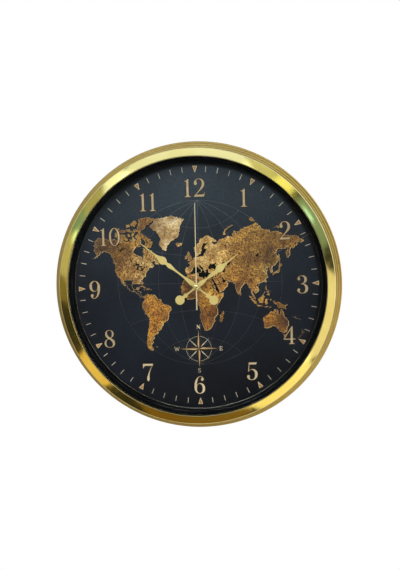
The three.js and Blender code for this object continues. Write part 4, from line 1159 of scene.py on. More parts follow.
ISLANDS = {
    "baffin": [(-62, 66.7), (-65, 63), (-71, 62.8), (-78, 64.4), (-73, 65.5), (-73, 68), (-78, 70),
               (-86, 70), (-89.5, 71.2), (-85, 73.5), (-80.5, 73.7), (-76, 72.5), (-68, 70), (-61.5, 67.5)],
    "ellesmere": [(-86, 76.5), (-76, 76.2), (-72, 78.6), (-65, 80.2), (-58.5, 82.2), (-66, 83.1),
                  (-78, 82.7), (-84, 81.6), (-82, 80.4), (-84, 79)],
    "axel_heiberg": [(-92, 81.3), (-87.5, 81.2), (-86, 79.8), (-89, 78.3), (-95, 78.6), (-95.5, 80)],
    "ringnes": [(-104, 79.2), (-98.5, 79), (-99, 77.9), (-103.5, 78)],
    "cornwallis": [(-97.5, 75.2), (-94, 75.4), (-93.5, 74.7), (-96.5, 74.6)],
    "prince_of_wales": [(-102.5, 73), (-98.2, 73.2), (-97.5, 71.9), (-101, 71.7)],
    "prince_patrick": [(-123, 77.3), (-116.5, 77.4), (-118, 76.4), (-122.5, 76)],
    "king_william": [(-99, 69.6), (-95.8, 69.2), (-97, 68.5)],
    "devon": [(-80, 75.6), (-81, 74.6), (-92, 74.7), (-92, 76.3), (-85, 75.9)],
    "victoria": [(-102, 68.8), (-106, 69.3), (-114, 69), (-117, 70), (-118.5, 71.8), (-114, 73.2),
                 (-107, 73.2), (-105, 71), (-101.5, 70)],
    "banks": [(-125.5, 72.2), (-122, 71.1), (-117.5, 73), (-118, 74.3), (-124, 74.3)],
    "somerset": [(-95.5, 72.2), (-92, 72.4), (-90.5, 73.6), (-94.5, 74)],
    "melville": [(-117, 76), (-106, 76), (-106, 74.8), (-114, 74.8)],
    "bathurst": [(-104, 76.5), (-98, 76.5), (-98, 75), (-103, 75.5)],
    "southampton": [(-87, 64), (-81, 64), (-84, 66), (-86, 65.6)],
    "newfoundland": [(-59, 47.7), (-53, 46.7), (-53, 48.5), (-55.8, 51.5), (-57.5, 50.5)],
    "vancouver": [(-123.5, 48.4), (-125.5, 48.9), (-128, 50.6), (-125, 50)],
    "cuba": [(-84.9, 21.9), (-82.5, 23.1), (-79, 22.8), (-75, 20.9), (-74.3, 20.1), (-77.5, 19.9),
             (-78, 21), (-81.8, 22.2)],
    "hispaniola": [(-74.3, 18.4), (-73, 19.8), (-70, 19.8), (-68.5, 18.6), (-71.5, 17.8)],
    "jamaica": [(-78.3, 18.3), (-76.3, 18.2), (-77.2, 17.7)],
    "puerto_rico": [(-67.2, 18.4), (-65.6, 18.3), (-66.5, 17.8)],
    "tierra": [(-68.6, -52.8), (-65.2, -54.7), (-68.5, -55.4), (-71, -54)],
    "falkland": [(-61, -51.5), (-58, -51.4), (-59, -52.3)],
    "madagascar": [(49.3, -12), (50.4, -15.6), (47.2, -24.9), (45.2, -25.5), (43.4, -22.5), (44.4, -19.8),
                   (44.3, -16.5), (47.5, -14.9)],
    "britain": [(-5.6, 50.1), (-3.5, 50.3), (1.3, 51.2), (1.7, 52.7), (0.2, 53.2), (-1.6, 55), (-2, 57.5),
                (-3.5, 58.6), (-5, 58.5), (-6, 57), (-4.8, 54.8), (-3, 54), (-4.6, 53.2), (-4.3, 52.2),
                (-5.2, 51.8), (-3, 51.3)],
    "ireland": [(-10, 52), (-6.3, 52.2), (-5.6, 54.5), (-7.5, 55.3), (-10, 54.2), (-9, 53.2)],
    "iceland": [(-24, 65.5), (-22.5, 64), (-19, 63.4), (-14, 64.7), (-14.7, 66.2), (-18, 66.1),
                (-22.5, 66.4)],
    "novaya": [(52.5, 71), (55.6, 70.8), (55.5, 73), (60, 75.2), (68, 76.8), (60.5, 76), (53.5, 73.2)],
    "severnaya": [(96, 79), (104, 78.6), (98, 80.8), (94, 80)],
    "new_siberian": [(138, 75), (150, 75.2), (143, 76)],
    "sicily": [(12.5, 38), (15.5, 38.1), (15, 36.8)],
    "sardinia": [(8.3, 41), (9.7, 41), (9.5, 39.2), (8.5, 39)],
    "crete": [(23.6, 35.4), (26.2, 35.2), (24.8, 34.9)],
    "cyprus": [(32.4, 35), (34.4, 35.6), (33.6, 34.7)],
    "sri_lanka": [(79.8, 8.5), (80.1, 6.1), (81.8, 7), (80.5, 9.6)],
    "hainan": [(108.7, 19), (110.8, 19.8), (110, 18.4)],
    "taiwan": [(120.2, 23), (121, 22), (121.8, 25)],
    "kyushu": [(130, 33.3), (130.3, 31.3), (131.6, 31.8), (133, 33), (134.5, 34.2), (132, 33.9)],
    "honshu": [(130.9, 34), (135.2, 33.8), (137, 34.6), (140, 35.2), (141, 38), (141.8, 40), (140.8, 41.4),
               (139.9, 39), (137, 37.2), (135.5, 35.6), (132.5, 35.4)],
    "hokkaido": [(140, 42), (143.2, 42), (145.5, 43.3), (142, 45.4), (141.3, 43.3)],
    "sakhalin": [(142.5, 54.3), (143.5, 50), (142.7, 46.2), (142, 47.8), (141.8, 52)],
    "luzon": [(120.4, 16.2), (120.7, 18.5), (122.2, 18.3), (121.6, 15.8), (124, 13), (121, 13.6)],
    "visayas": [(122, 11.5), (125, 12.3), (125.2, 10.2), (123, 9.4)],
    "mindanao": [(122, 7), (125.5, 9.7), (126.4, 7), (125.3, 5.8)],
    "palawan": [(117.3, 8.4), (119.5, 11.2), (118.5, 9.2)],
    "borneo": [(109, 1.5), (111.5, 2.7), (114, 4.6), (117, 7), (119, 5), (117.6, 1), (116.3, -3.5),
               (114.5, -4), (110.2, -2.8), (109.2, 0)],
    "sumatra": [(95.3, 5.6), (98, 4.3), (100.5, 2.2), (103.8, -1), (106, -3.2), (105.8, -5.8), (102.3, -4),
                (99.2, 0.2)],
    "java": [(105.2, -6.8), (108.5, -6.7), (112.7, -7), (114.5, -8.5), (110, -8.1), (106.5, -7.4)],
    "sulawesi": [(119, -3), (119.6, -5.5), (120.4, -5.5), (120.6, -3), (122, -5), (122.6, -4),
                 (121.4, -1.5), (123.4, -0.9), (120.6, 0.3), (124.8, 1.2), (124.6, 1.8), (120.3, 1.2),
                 (119.8, -0.8)],
    "halmahera": [(127.4, 1), (128.2, 2), (128.7, 0.5), (127.9, -0.6)],
    "timor": [(123.5, -10.3), (125, -8.9), (127.2, -8.4), (125.5, -9.6)],
    "flores": [(116.8, -9), (119, -8.3), (123, -8.3), (120, -9)],
    "new_guinea": [(131, -0.8), (134.2, -0.8), (135, -3.3), (138, -1.7), (141, -2.6), (145.8, -5.3),
                   (147.8, -6), (150.8, -10.4), (147, -9.6), (143.5, -8.5), (141, -9.1), (138, -8.3),
                   (138, -5.5), (133, -4), (132.5, -2.5)],
    "new_britain": [(148.3, -5.7), (152, -4.3), (150.5, -6.2)],
    "new_caledonia": [(164, -20.2), (167, -22.2), (165.5, -21.8)],
    "tasmania": [(144.7, -40.8), (148.3, -40.9), (147.8, -43.2), (146, -43.5)],
}
DIM_ISLANDS = {
    "zealand_north": [(172.8, -34.5), (175.5, -36.8), (178.4, -37.7), (177, -39.5), (175.3, -41.5),
                      (174, -39.5), (174.8, -37.5)],
    "zealand_south": [(172.7, -40.6), (174.2, -41.7), (171, -44.3), (170.6, -45.9), (168.4, -46.6),
                      (166.6, -45.9), (170.5, -43)],
}
WATERS = {
    "west_sea": [(-4, 36.3), (0.8, 38.3), (3.4, 41.4), (4.2, 42.9), (7, 43), (9.2, 44), (9.9, 42.6),
                 (12, 41.2), (14.8, 39.8), (15.2, 38.4), (12.6, 38.4), (11.2, 37.6), (5, 37.2), (0, 36.2)],
    "middle_sea": [(15.8, 37.2), (17.3, 38.8), (18.8, 39.8), (20.6, 38), (22.2, 36.2), (23.5, 35),
                   (27, 36.2), (30.5, 36.2), (34, 35.7), (35.2, 34), (33.6, 31.7), (29, 31.5),
                   (25, 32.2), (21, 33.2), (19.5, 31.2), (15.5, 33), (11.5, 34.2), (11.6, 36.4),
                   (14, 36.6)],
    "adriatic": [(12.8, 44.8), (14, 45.2), (15.5, 43.6), (18.8, 41.8), (18.9, 40.5), (17.8, 41),
                 (15.8, 42.4), (13.9, 43.9)],
    "aegean": [(23.4, 36.6), (24, 38), (23.4, 39.6), (24.5, 40.6), (26, 40.3), (26.2, 38.5), (27, 37)],
    "black_sea": [(28.4, 43.5), (28.9, 41.4), (33, 42), (36, 41.6), (41.5, 41.5), (39, 44), (37, 45.2),
                  (39, 47.2), (35, 46.2), (33.4, 45.7), (33.5, 44.5), (30.8, 46.4), (28.8, 44.5)],
    "caspian": [(49.5, 46.5), (53, 46.7), (51.3, 45), (50.3, 44.5), (53, 42), (52.7, 40), (54, 37.2),
                (51, 36.8), (49, 38.3), (49.5, 40.4), (47.6, 43), (47, 45)],
    "superior": [(-92, 46.7), (-88.5, 48.8), (-84.7, 47.5), (-84.5, 46.5), (-87.5, 46.5)],
    "michigan": [(-87.7, 42), (-86.3, 42), (-86.2, 44.5), (-85, 46), (-87.8, 44.7)],
    "huron": [(-84, 46.2), (-80.5, 45.6), (-81.7, 43.3), (-83.4, 44), (-83.4, 45.2)],
    "erie": [(-83.3, 41.6), (-79, 42.8), (-80, 42), (-82.5, 41.3)],
    "ontario": [(-79.7, 43.3), (-76.3, 44.1), (-76.5, 43.5)],
    "winnipeg": [(-98.5, 53.6), (-97.5, 53.6), (-96.6, 50.6), (-98, 52)],
    "great_slave": [(-117, 61), (-112, 62.6), (-110, 62.8), (-114, 61.2)],
    "great_bear": [(-124, 66), (-121, 67), (-118, 66), (-122, 65)],
    "victoria_lake": [(31.8, 0), (34, 0.2), (33.5, -2.5), (31.8, -2)],
    "baikal": [(104, 51.6), (106.5, 52.4), (109.8, 55.5), (108.5, 54.2)],
    "aral": [(58.5, 45.8), (61, 46.4), (60.5, 44.2), (58.6, 44)],
    "baltic": [(10.8, 54.3), (14, 54.4), (18.5, 54.9), (20.2, 55.6), (20.8, 57.3), (22.4, 58.8), (24, 59.7),
               (29.3, 60), (24, 60), (21.4, 60.6), (21, 62.3), (24.8, 65.2), (22, 65.2), (18, 62.2),
               (18.3, 60.2), (16.8, 58.4), (15.8, 56.4), (13.2, 55.2)],
    "red_sea": [(32.6, 29.5), (34.2, 27.5), (37.2, 22), (39.5, 17), (43, 12.8), (43.4, 13.6), (41.5, 17.5),
                (38.6, 22.2), (35.2, 27.6), (33.2, 29.6)],
    "persian_gulf": [(48.6, 29.8), (50.4, 27.4), (51.8, 24.8), (54.2, 24.6), (56.2, 26.4), (54.3, 26.3),
                     (51.2, 27.9), (49.8, 29.9)],
}
NARROW_SEAS = {
    "channel": [(-5, 49.2), (-2, 50), (1, 50.4), (2.3, 51.6), (4, 53.5), (7.5, 54.3), (7.6, 56.5),
                (5, 58), (3, 60), (0, 60), (-1, 57.5), (0.6, 54.3), (2.4, 52.8), (1.8, 51.4), (-1, 50.5),
                (-4.5, 49.9)],
    "irish_sea": [(-5.6, 51.9), (-4.8, 52.8), (-5, 53.4), (-3.6, 53.9), (-5.2, 54.8), (-5.4, 53.8),
                  (-6, 52.8)],
}
LAND_NUDGES = {"greenland": (1.3, 0), "north_america": (0.6, 0.2), "south_america": (0, 0.6)}
COAST_SEED = 11
COAST_STEP = 1.0
COAST_ROUGHNESS = 0.36
COAST_WIDTH = 0.13
ISLAND_COAST = 0.8
SHADE_DROP = 0.95
RIM_SHIFT = 0.42
DIM_THIN = 0.15
WATER_SPREAD = 0.45


def roughened(outline, chance):
    """Breaks each stretch of coast into short runs, pushed a little to either side."""
    points = []
    for here, there in zip(outline, outline[1:] + outline[:1]):
        span = Vector(there) - Vector(here)
        parts = max(1, round(span.length / COAST_STEP))
        side = Vector((-span.y, span.x)).normalized() if span.length else Vector((0, 0))
        for k in range(parts):
            push = 0 if k == 0 else chance.uniform(-1, 1) * COAST_ROUGHNESS * span.length / parts * 2
            points.append(tuple(Vector(here) + span * (k / parts) + side * push))
    return points


def make_map():
    chance = random.Random(COAST_SEED)
    lands = {
        "north_america": NORTH_AMERICA,
        "south_america": SOUTH_AMERICA,
        "africa": AFRICA,
        "eurasia": EURASIA,
        "australia": AUSTRALIA,
        "greenland": GREENLAND,
    }
    coasts = {}
    for name, line in lands.items():
        coast = moved([[on_map(*p) for p in line]], *LAND_NUDGES.get(name, (0, 0)))[0]
        coasts[name] = roughened(coast, chance)
    isles, waters, dim = [
        [roughened([on_map(*p) for p in line], chance) for line in group.values()]
        for group in (ISLANDS, WATERS, DIM_ISLANDS)
    ]
    narrows = [[on_map(*p) for p in line] for line in NARROW_SEAS.values()]
    for name, coast in coasts.items():
        finish = PALE_LAND if name == "greenland" else LAND
        print_on_dial(f"land_{name}", [coast], LAND_LAYER, finish)
        print_on_dial(f"shade_{name}", moved([coast], SHADE_DROP, -SHADE_DROP), SHADE_LAYER, LAND_SHADE)
        print_on_dial(f"rim_{name}", moved([coast], RIM_SHIFT, -RIM_SHIFT / 2), RIM_LAYER, LAND_RIM)
        print_on_dial(f"coast_{name}", [coast], COAST_LAYER, COAST, line=COAST_WIDTH)
    print_on_dial("land_islands", isles, LAND_LAYER, LAND)
    print_on_dial("shade_islands", moved(isles, SHADE_DROP, -SHADE_DROP), SHADE_LAYER, LAND_SHADE)
    print_on_dial("coast_islands", isles, COAST_LAYER, COAST, line=COAST_WIDTH * ISLAND_COAST)
    print_on_dial("land_dim_islands", dim, LAND_LAYER, DIM_LAND, thin=DIM_THIN)
    print_on_dial("inland_waters", waters, WATER_LAYER, LAND_SHADE, thin=-WATER_SPREAD)
    print_on_dial("narrow_seas", narrows, WATER_LAYER, FINISHES["dial_navy"])


# Globe lines behind the map: a circle with bowed meridians and parallels
GLOBE_RADIUS = 86
GLOBE_SIDES = 96
GLOBE_PLACE = (2.3, 3.3)
GRID_WIDTH = 0.12
MERIDIANS = (-0.75, -0.5, -0.25, 0.25, 0.5, 0.75)
PARALLELS = (-60, -30, 30, 60)
NEARLY_STRAIGHT = 0.01


def bow(first, through, last, steps=24):
    """Circular arc through three points."""
    a, b, c = Vector(first), Vector(through), Vector(last)
    chord = c - a
    rise = b - (a + c) / 2
    if rise.length < NEARLY_STRAIGHT:
        return [tuple(a), tuple(c)]
    radius = (chord.length_squared / 4 + rise.length_squared) / (2 * rise.length)
    centre = b - rise.normalized() * radius
    start = math.atan2(a.y - centre.y, a.x - centre.x)
    top = math.atan2(b.y - centre.y, b.x - centre.x)
    sweep = (top - start + math.pi) % FULL_TURN - math.pi
    return [on_ring(centre.x, centre.y, radius, start + sweep * 2 * k / steps) for k in range(steps + 1)]


def make_globe_lines():
    reach = GLOBE_RADIUS
    rim = [polar(reach, FULL_TURN * k / GLOBE_SIDES) for k in range(GLOBE_SIDES)]
    print_on_dial("globe_rim", moved([rim], *GLOBE_PLACE), GRID_LAYER, FAINT, line=GRID_WIDTH)
    bows = [[(0, reach), (0, -reach)]]
    for share in MERIDIANS:
        bows.append(bow((0, reach), (share * reach, 0), (0, -reach)))
    for degrees in PARALLELS:
        lean = math.radians(degrees)
        end = (reach * math.cos(lean), reach * math.sin(lean))
        bows.append(bow((-end[0], end[1]), (0, reach * degrees / 90), end))
    bows.append([(-reach, 0), (reach, 0)])
    lines = moved(bows, *GLOBE_PLACE)
    print_on_dial("globe_lines", lines, GRID_LAYER, FAINT, line=GRID_WIDTH, closed=False)


# Compass rose: a four-point star over a ring with thin diagonal needles and four letters
ROSE_UP = -66
ROSE_POINT = 19.6
ROSE_WAIST = 1.35
ROSE_BELLY = 4.4
ROSE_BACKING = 2.9
BACKING_POINT = ROSE_POINT - 1
ROSE_RING = 13.2
ROSE_SIDES = 64
ROSE_LINE = 0.12
NEEDLE = [(-0.5, 5.8), (0, 2.6), (0.5, 5.8), (0, 15.8)]
LETTER_RING = 23.2
LETTER_HEIGHT = 4.3
LETTER_THIN = 0.04
# Each letter's width and outline, on a height of 100
LETTERS = {
    "N": (87, [(0, 0), (26, 0), (26, 5), (18, 5), (18, 72), (68, 0), (79, 0), (79, 95), (87, 95), (87, 100),
               (61, 100), (61, 95), (70, 95), (70, 30), (22, 100), (0, 100), (0, 95), (8, 95), (8, 5),
               (0, 5)]),
    "S": (66, [(8, 30), (3, 30), (3, 0), (8, 0), (11, 7), (32, -2, 1), (58, 8, 1), (64, 26, 1), (54, 44, 1),
               (27, 57, 1), (19, 72, 1), (24, 88, 1), (36, 94, 1), (52, 88, 1), (58, 72), (63, 72),
               (63, 100), (58, 100), (55, 94), (35, 102, 1), (12, 93, 1), (4, 74, 1), (14, 54, 1),
               (42, 41, 1), (49, 24, 1), (44, 10, 1), (31, 5, 1), (14, 12, 1)]),
    "W": (144, [(0, 100), (0, 94), (10, 94), (42, 0), (49, 0), (72, 66), (95, 0), (102, 0), (134, 94),
                (144, 94), (144, 100), (110, 100), (110, 94), (123, 94), (100, 24), (76, 92), (68, 92),
                (47, 24), (24, 94), (36, 94), (36, 100)]),
    "E": (80, [(0, 0), (78, 0), (80, 32), (72, 32), (62, 11), (28, 11), (28, 45), (48, 45), (52, 36),
               (59, 36), (59, 66), (52, 66), (48, 56), (28, 56), (28, 89), (60, 89), (68, 72), (76, 72),
               (75, 100), (0, 100), (0, 94), (12, 94), (12, 6), (0, 6)]),
}


def make_compass():
    left = [(0, 0), (-ROSE_WAIST, ROSE_BELLY), (0, ROSE_POINT)]
    right = [(0, 0), (ROSE_WAIST, ROSE_BELLY), (0, ROSE_POINT)]
    backing = [(0, 0), (-ROSE_BACKING, ROSE_BELLY), (0, BACKING_POINT), (ROSE_BACKING, ROSE_BELLY)]
    quarters = [quarter * QUARTER_TURN for quarter in range(4)]
    light, brown, dark = [[turned(form, turn) for turn in quarters] for form in (left, right, backing)]
    needles = [turned(NEEDLE, turn + EIGHTH_TURN) for turn in quarters]
    ring = [polar(ROSE_RING, FULL_TURN * k / ROSE_SIDES) for k in range(ROSE_SIDES)]
    letters = []
    for turn, letter in zip(quarters, "NESW"):
        width, outline = LETTERS[letter]
        scale = LETTER_HEIGHT / 100
        across, up = polar(LETTER_RING, turn)
        letters += moved([outline], across - width * scale / 2, up - LETTER_HEIGHT / 2, scale)
    print_on_dial("rose_ring", moved([ring], 0, ROSE_UP), ROSE_RING_LAYER, TICK_TAN, line=ROSE_LINE)
    print_on_dial("rose_backing", moved(dark, 0, ROSE_UP), SCALE_LAYER, LAND_SHADE)
    print_on_dial("rose_needles", moved(needles, 0, ROSE_UP), EDGE_LAYER, TICK_TAN)
    print_on_dial("rose_points_light", moved(light, 0, ROSE_UP), FACE_LAYER, ROSE_GOLD)
    print_on_dial("rose_points_brown", moved(brown, 0, ROSE_UP), FACE_LAYER, ROSE_BROWN)
    print_on_dial("rose_letters", moved(letters, 0, ROSE_UP), FACE_LAYER, NUMERAL_LIGHT, thin=LETTER_THIN)


# Hands: stamped sheet with softened edges on a collet
BLADE = 0.5
BLADE_EDGE = 0.08
COLLET_WALL = 0.9
COLLET_LAP = 0.3
COLLET_SEGMENTS = 24
TAIL_REACH = 22.6
TAIL_RADIUS = 4.8
TAIL_GAP = 0.4
TAIL_STEPS = 8
BOSS_RADIUS = 3.6
BOSS_SWING = 0.9
BOSS_STEPS = 4
# Right side of a spade hand: half width and place, from the tail disc's collar and from the bulb's middle
SPADE_NECK = [(1.3, 0.5), (2.2, 2.4), (2.2, 3.3), (0.95, 5.2)]
SPADE_BULB = [
    (1.25, -14.5, 1), (2.35, -8.7), (1.8, -6.6, 1), (1.4, -4.6, 1), (3.2, -2.4, 1), (4.0, 0, 1),
    (3.6, 2.2, 1), (2.2, 5.2, 1), (1.1, 8.5, 1), (0.62, 12.5),
]
SPADE_STEM = 0.85
STEM_END = -5.5
THROAT = (2.5, 6.5)
MIDWAY_HALF = 1.3
TIP = (0.28, 0.6)
# Length of each spade hand and where its bulb sits
HOUR_SPADE = (55, 30.3)
MINUTE_SPADE = (74, 44.3)
SECOND_NEEDLE = [(-0.62, -23.7), (0.62, -23.7), (0.5, 0), (0.3, 86), (-0.3, 86), (-0.5, 0)]
HOUR_COLLET = 3.5
MINUTE_COLLET = 2.7
SECOND_COLLET = 1.7
CAP_SKIRT = 0.7
CAP_STEPS = 6
CAP_SEGMENTS = 40


def spade_outline(reach, bulb):
    """Spade hand pointing to twelve, right side from the tail disc to the tip and mirrored."""
    side = []
    for k in range(TAIL_STEPS + 1):
        swing = -QUARTER_TURN + k / TAIL_STEPS * (math.pi - TAIL_GAP)
        side.append(on_ring(0, -TAIL_REACH, TAIL_RADIUS, swing) + (1,))
    side += moved([SPADE_NECK], 0, -TAIL_REACH + TAIL_RADIUS)[0]
    side.append((SPADE_STEM, STEM_END))
    for k in range(BOSS_STEPS + 1):
        swing = BOSS_SWING * (2 * k / BOSS_STEPS - 1)
        side.append(on_ring(0, 0, BOSS_RADIUS, swing) + (1,))
    waist = bulb / 2
    side += [THROAT + (1,), (MIDWAY_HALF, (THROAT[1] + waist) / 2, 1), (SPADE_STEM, waist, 1)]
    side += moved([SPADE_BULB], 0, bulb)[0]
    side += [(TIP[0], reach - TIP[1]), (0, reach)]
    return side + [(-p[0],) + tuple(p[1:]) for p in reversed(side[1:-1])]


def make_hand(name, node, body, outline, angle, collet_radius, finish):
    front = low(node, "y")
    rear = high(node, "y")
    blade = drawn(name, [outline], front, BLADE - 2 * BLADE_EDGE, BLADE_EDGE, angle=angle)
    bore = collet_radius - COLLET_WALL
    collet = spun(f"{name}_collet", rounded([
        (bore, rear, CRISP),
        (collet_radius, rear, FINE),
        (collet_radius, front + COLLET_LAP, SHARP),
        (bore, front + COLLET_LAP, SHARP),
    ], 2), COLLET_SEGMENTS)
    soften(joined(blade, collet), SMOOTH_LESS)
    dress(blade, finish, body, "pale_gold", node)


def make_hands():
    hour, minute = spade_outline(*HOUR_SPADE), spade_outline(*MINUTE_SPADE)
    gold = FINISHES["pale_gold"]
    make_hand("hour_spade", "hour_hand", "hour", hour, HOUR_ANGLE, HOUR_COLLET, gold)
    make_hand("minute_spade", "minute_hand", "minute", minute, MINUTE_ANGLE, MINUTE_COLLET, gold)
    make_hand(
        "second_needle", "second_hand", "second", SECOND_NEEDLE, SECOND_ANGLE, SECOND_COLLET, SECOND_PALE)
    rear = high("hub_cap", "y")
    skirt = rear - CAP_SKIRT
    height = low("hub_cap", "y") - rear + CAP_SKIRT
    radius = high("hub_cap", "x")
    dome = [(0, rear), (radius, rear), (radius, skirt)]
    for k in range(1, CAP_STEPS + 1):
        swing = k / CAP_STEPS * QUARTER_TURN
        dome.append((radius * math.cos(swing), skirt + height * math.sin(swing)))
    cap = soften(spun("hub_dome", dome, CAP_SEGMENTS), SMOOTH_MORE)
    dress(cap, HUB_BRASS, "second", "pale_gold", "hub_cap")


# Back: moulded cover with grooves, a pocket for the movement and a window for the hanger
COVER_SCREWS = [f"cover_screw_{i}" for i in range(1, 7)]
HANGER_SCREWS = [f"hanger_screw_{i}" for i in range(1, 3)]
COVER_REAR = high("back_cover", "y")
COVER_SHEET = 2.4
COVER_FRONT = COVER_REAR - COVER_SHEET
COVER_RADIUS = high("back_cover", "x")
COVER_FILLET = 1.2
GROOVES = (62, 129)
GROOVE_WIDTH = 3.2
GROOVE_DEPTH = 1.1
SPIGOT_RADIUS = 147.2
SPIGOT_DEPTH = 3.6
RIB_RADIUS = 129
RIB = 2
SEAT = 0.3
HEAD_ROOM = 1.5
WINDOW_LOW = (-8, -19.6)
WINDOW_HIGH = (8, 3)
WALLS_BEHIND_DIAL = 2.3
WALLS_LAP = 0.4
# Hooks over the movement's lid: reach inwards, root in the wall, thickness and half length
HOOK_REACH = 1.2
HOOK_ROOT = 0.5
HOOK = 1.6
HOOK_HALF = 5


def cover_profile():
    corners = [(0, COVER_REAR, SHARP)]
    for radius in GROOVES:
        side = GROOVE_WIDTH / 2
        corners += [
            (radius - side, COVER_REAR, SOFT),
            (radius - side / 2, COVER_REAR - GROOVE_DEPTH, SOFT),
            (radius + side / 2, COVER_REAR - GROOVE_DEPTH, SOFT),
            (radius + side, COVER_REAR, SOFT),
        ]
    corners += [(COVER_RADIUS, COVER_REAR, COVER_FILLET), (COVER_RADIUS, COVER_FRONT, FINE)]
    for radius, end in ((SPIGOT_RADIUS, COVER_FRONT - SPIGOT_DEPTH), (RIB_RADIUS, low("back_cover", "y"))):
        corners += [
            (radius, COVER_FRONT, SHARP),
            (radius, end, SOFT),
            (radius - RIB, end, SOFT),
            (radius - RIB, COVER_FRONT, SHARP),
        ]
    corners.append((0, COVER_FRONT, SHARP))
    return rounded(corners, 3)


def make_back_cover():
    cover = spun("moulded_back", cover_profile(), DISC_SEGMENTS)
    left, right = low("movement_case", "x") - SEAT, high("movement_case", "x") + SEAT
    floor, roof = low("movement_case", "z") - SEAT, high("movement_case", "z") + SEAT
    walls_end = DIAL_REAR + WALLS_BEHIND_DIAL
    past_rear = COVER_REAR + OVERRUN
    walls = block(
        "walls", (left - RIB, walls_end, floor - RIB), (right + RIB, COVER_FRONT + WALLS_LAP, roof + RIB))
    worked(cover, walls, "UNION")
    worked(cover, block("pocket", (left, walls_end - OVERRUN, floor), (right, past_rear, roof)))
    window = block(
        "window", (WINDOW_LOW[0], COVER_FRONT - OVERRUN, WINDOW_LOW[1]),
        (WINDOW_HIGH[0], past_rear, WINDOW_HIGH[1]))
    worked(cover, window)
    hook_up = (AXIS + high("movement_case", "z")) / 2
    lid_rear = high("movement_lid", "y") + SEAT
    for side, edge in ((-1, left), (1, right)):
        inner, outer = sorted((edge - side * HOOK_REACH, edge + side * HOOK_ROOT))
        hook = block(
            "hook", (inner, lid_rear, hook_up - HOOK_HALF), (outer, lid_rear + HOOK, hook_up + HOOK_HALF))
        worked(cover, hook, "UNION")
    for node in COVER_SCREWS + HANGER_SCREWS:
        head = half(node, "x")
        worked(cover, drill(node, head + SEAT, -HEAD_ROOM, past_rear))
        worked(cover, drill(node, head / 2, COVER_FRONT - OVERRUN, past_rear))
    soften(cover, SMOOTH_LESS)
    dress(cover, FINISHES["black_plastic"], "case", "black_plastic", "back_cover")


# Screws: pan heads with a cross recess, modelled once for each size and copied
COVER_SHANK = 1.15
HANGER_SHANK = 1.0
HEAD_HEIGHT = 1.2
# Pan of the head: share of its radius, depth under its top, fillet
PAN = [(0.6, 0.08, 1.2), (0.97, 0.65, ROUND)]
RECESS_DEPTH = 0.75
RECESS_ARM = 0.62
RECESS_SLOT = 0.13
SCREW_TURN = 0.7
SCREW_SEGMENTS = 24


def make_screws(nodes, shank):
    first = nodes[0]
    across, up = middle(first)
    head = half(first, "x")
    rear = high(first, "y")
    under = rear - HEAD_HEIGHT
    tip = low(first, "y")
    profile = [(0, rear, SHARP)] + [(head * share, rear - drop, fillet) for share, drop, fillet in PAN]
    profile += [
        (head, under, FINE), (shank, under, CRISP), (shank, tip + shank, SOFT), (0, tip, SHARP),
    ]
    model = spun("screw_model", rounded(profile, 3), SCREW_SEGMENTS, (across, up))
    arm, slot = head * RECESS_ARM, head * RECESS_SLOT
    for wide, tall in ((arm, slot), (slot, arm)):
        first_corner = (across - wide, rear - RECESS_DEPTH, up - tall)
        last_corner = (across + wide, rear + OVERRUN, up + tall)
        worked(model, block("cross", first_corner, last_corner))
    soften(model)
    for i, node in enumerate(nodes):
        pick(model)
        bpy.ops.object.duplicate()
        screw = bpy.context.object
        screw.name = f"steel_{node}"
        hub = (across * MM, 0, up * MM)
        bpy.ops.transform.rotate(value=SCREW_TURN * i, orient_axis="Y", center_override=hub)
        there = middle(node)
        bpy.ops.transform.translate(value=((there[0] - across) * MM, 0, (there[1] - up) * MM))
        dress(settle(screw), FINISHES["steel"], "case", "steel", node)
    put_away(model)


# Hanger plate: stamped steel with a keyhole
KEYHOLE = 5
KEY_SLOT = 2.6
KEY_RISE = 104
SLOT_RISE = 9
PLATE_CORNER = 2.5
CORNER_STEPS = 5
PLATE_EDGE = 0.15
PLATE_HOLE = 1.2


def soft_box(left, foot, right, top, corner):
    """Outline of a rectangle with round corners."""
    centres = [
        (right - corner, top - corner), (left + corner, top - corner),
        (left + corner, foot + corner), (right - corner, foot + corner),
    ]
    points = []
    for i, (x, y) in enumerate(centres):
        points += ring_of(x, y, corner, i * QUARTER_TURN, (i + 1) * QUARTER_TURN, CORNER_STEPS)
    return points


def make_hanger():
    node = "hanger_plate"
    foot, top = low(node, "z") - AXIS, high(node, "z") - AXIS
    box = soft_box(low(node, "x"), foot, high(node, "x"), top, PLATE_CORNER)
    throat = math.asin(KEY_SLOT / KEYHOLE)
    key = ring_of(0, KEY_RISE, KEYHOLE, QUARTER_TURN + throat, QUARTER_TURN - throat + FULL_TURN, 24)
    key += ring_of(0, KEY_RISE + SLOT_RISE, KEY_SLOT, 0, math.pi, 12)
    holes = []
    for screw in HANGER_SCREWS:
        across, up = middle(screw)
        holes.append(ring_of(across, up - AXIS, PLATE_HOLE, steps=12))
    front = low(node, "y")
    thickness = high(node, "y") - front - 2 * PLATE_EDGE
    plate = drawn("keyhole_plate", [box, key] + holes, front + PLATE_EDGE, thickness, PLATE_EDGE)
    dress(soften(plate, SMOOTH_LESS), FINISHES["steel"], "case", "steel", "hanger_plate")


# Movement seen in its pocket: lid with bearings and marks, knurled setting knob, cell
LID = 1.2
LID_BORDER = 2.2
LID_SLOPE = 0.4
LID_DISH = 0.35
LID_EDGE = 0.2
# Least share of a face's normal along y for it to count as facing back
FACING = 0.9
STEM_HOLE = 1.7
BEARINGS = ("seconds_wheel", "fifth_wheel", "rotor_magnet")
BOSS_OUTER = 2.2
BOSS_INNER = 1.5
BOSS_CUP = 1.1
BOSS_RISE = 0.25
CUP_DROP = 0.1
BOSS_SEGMENTS = 24
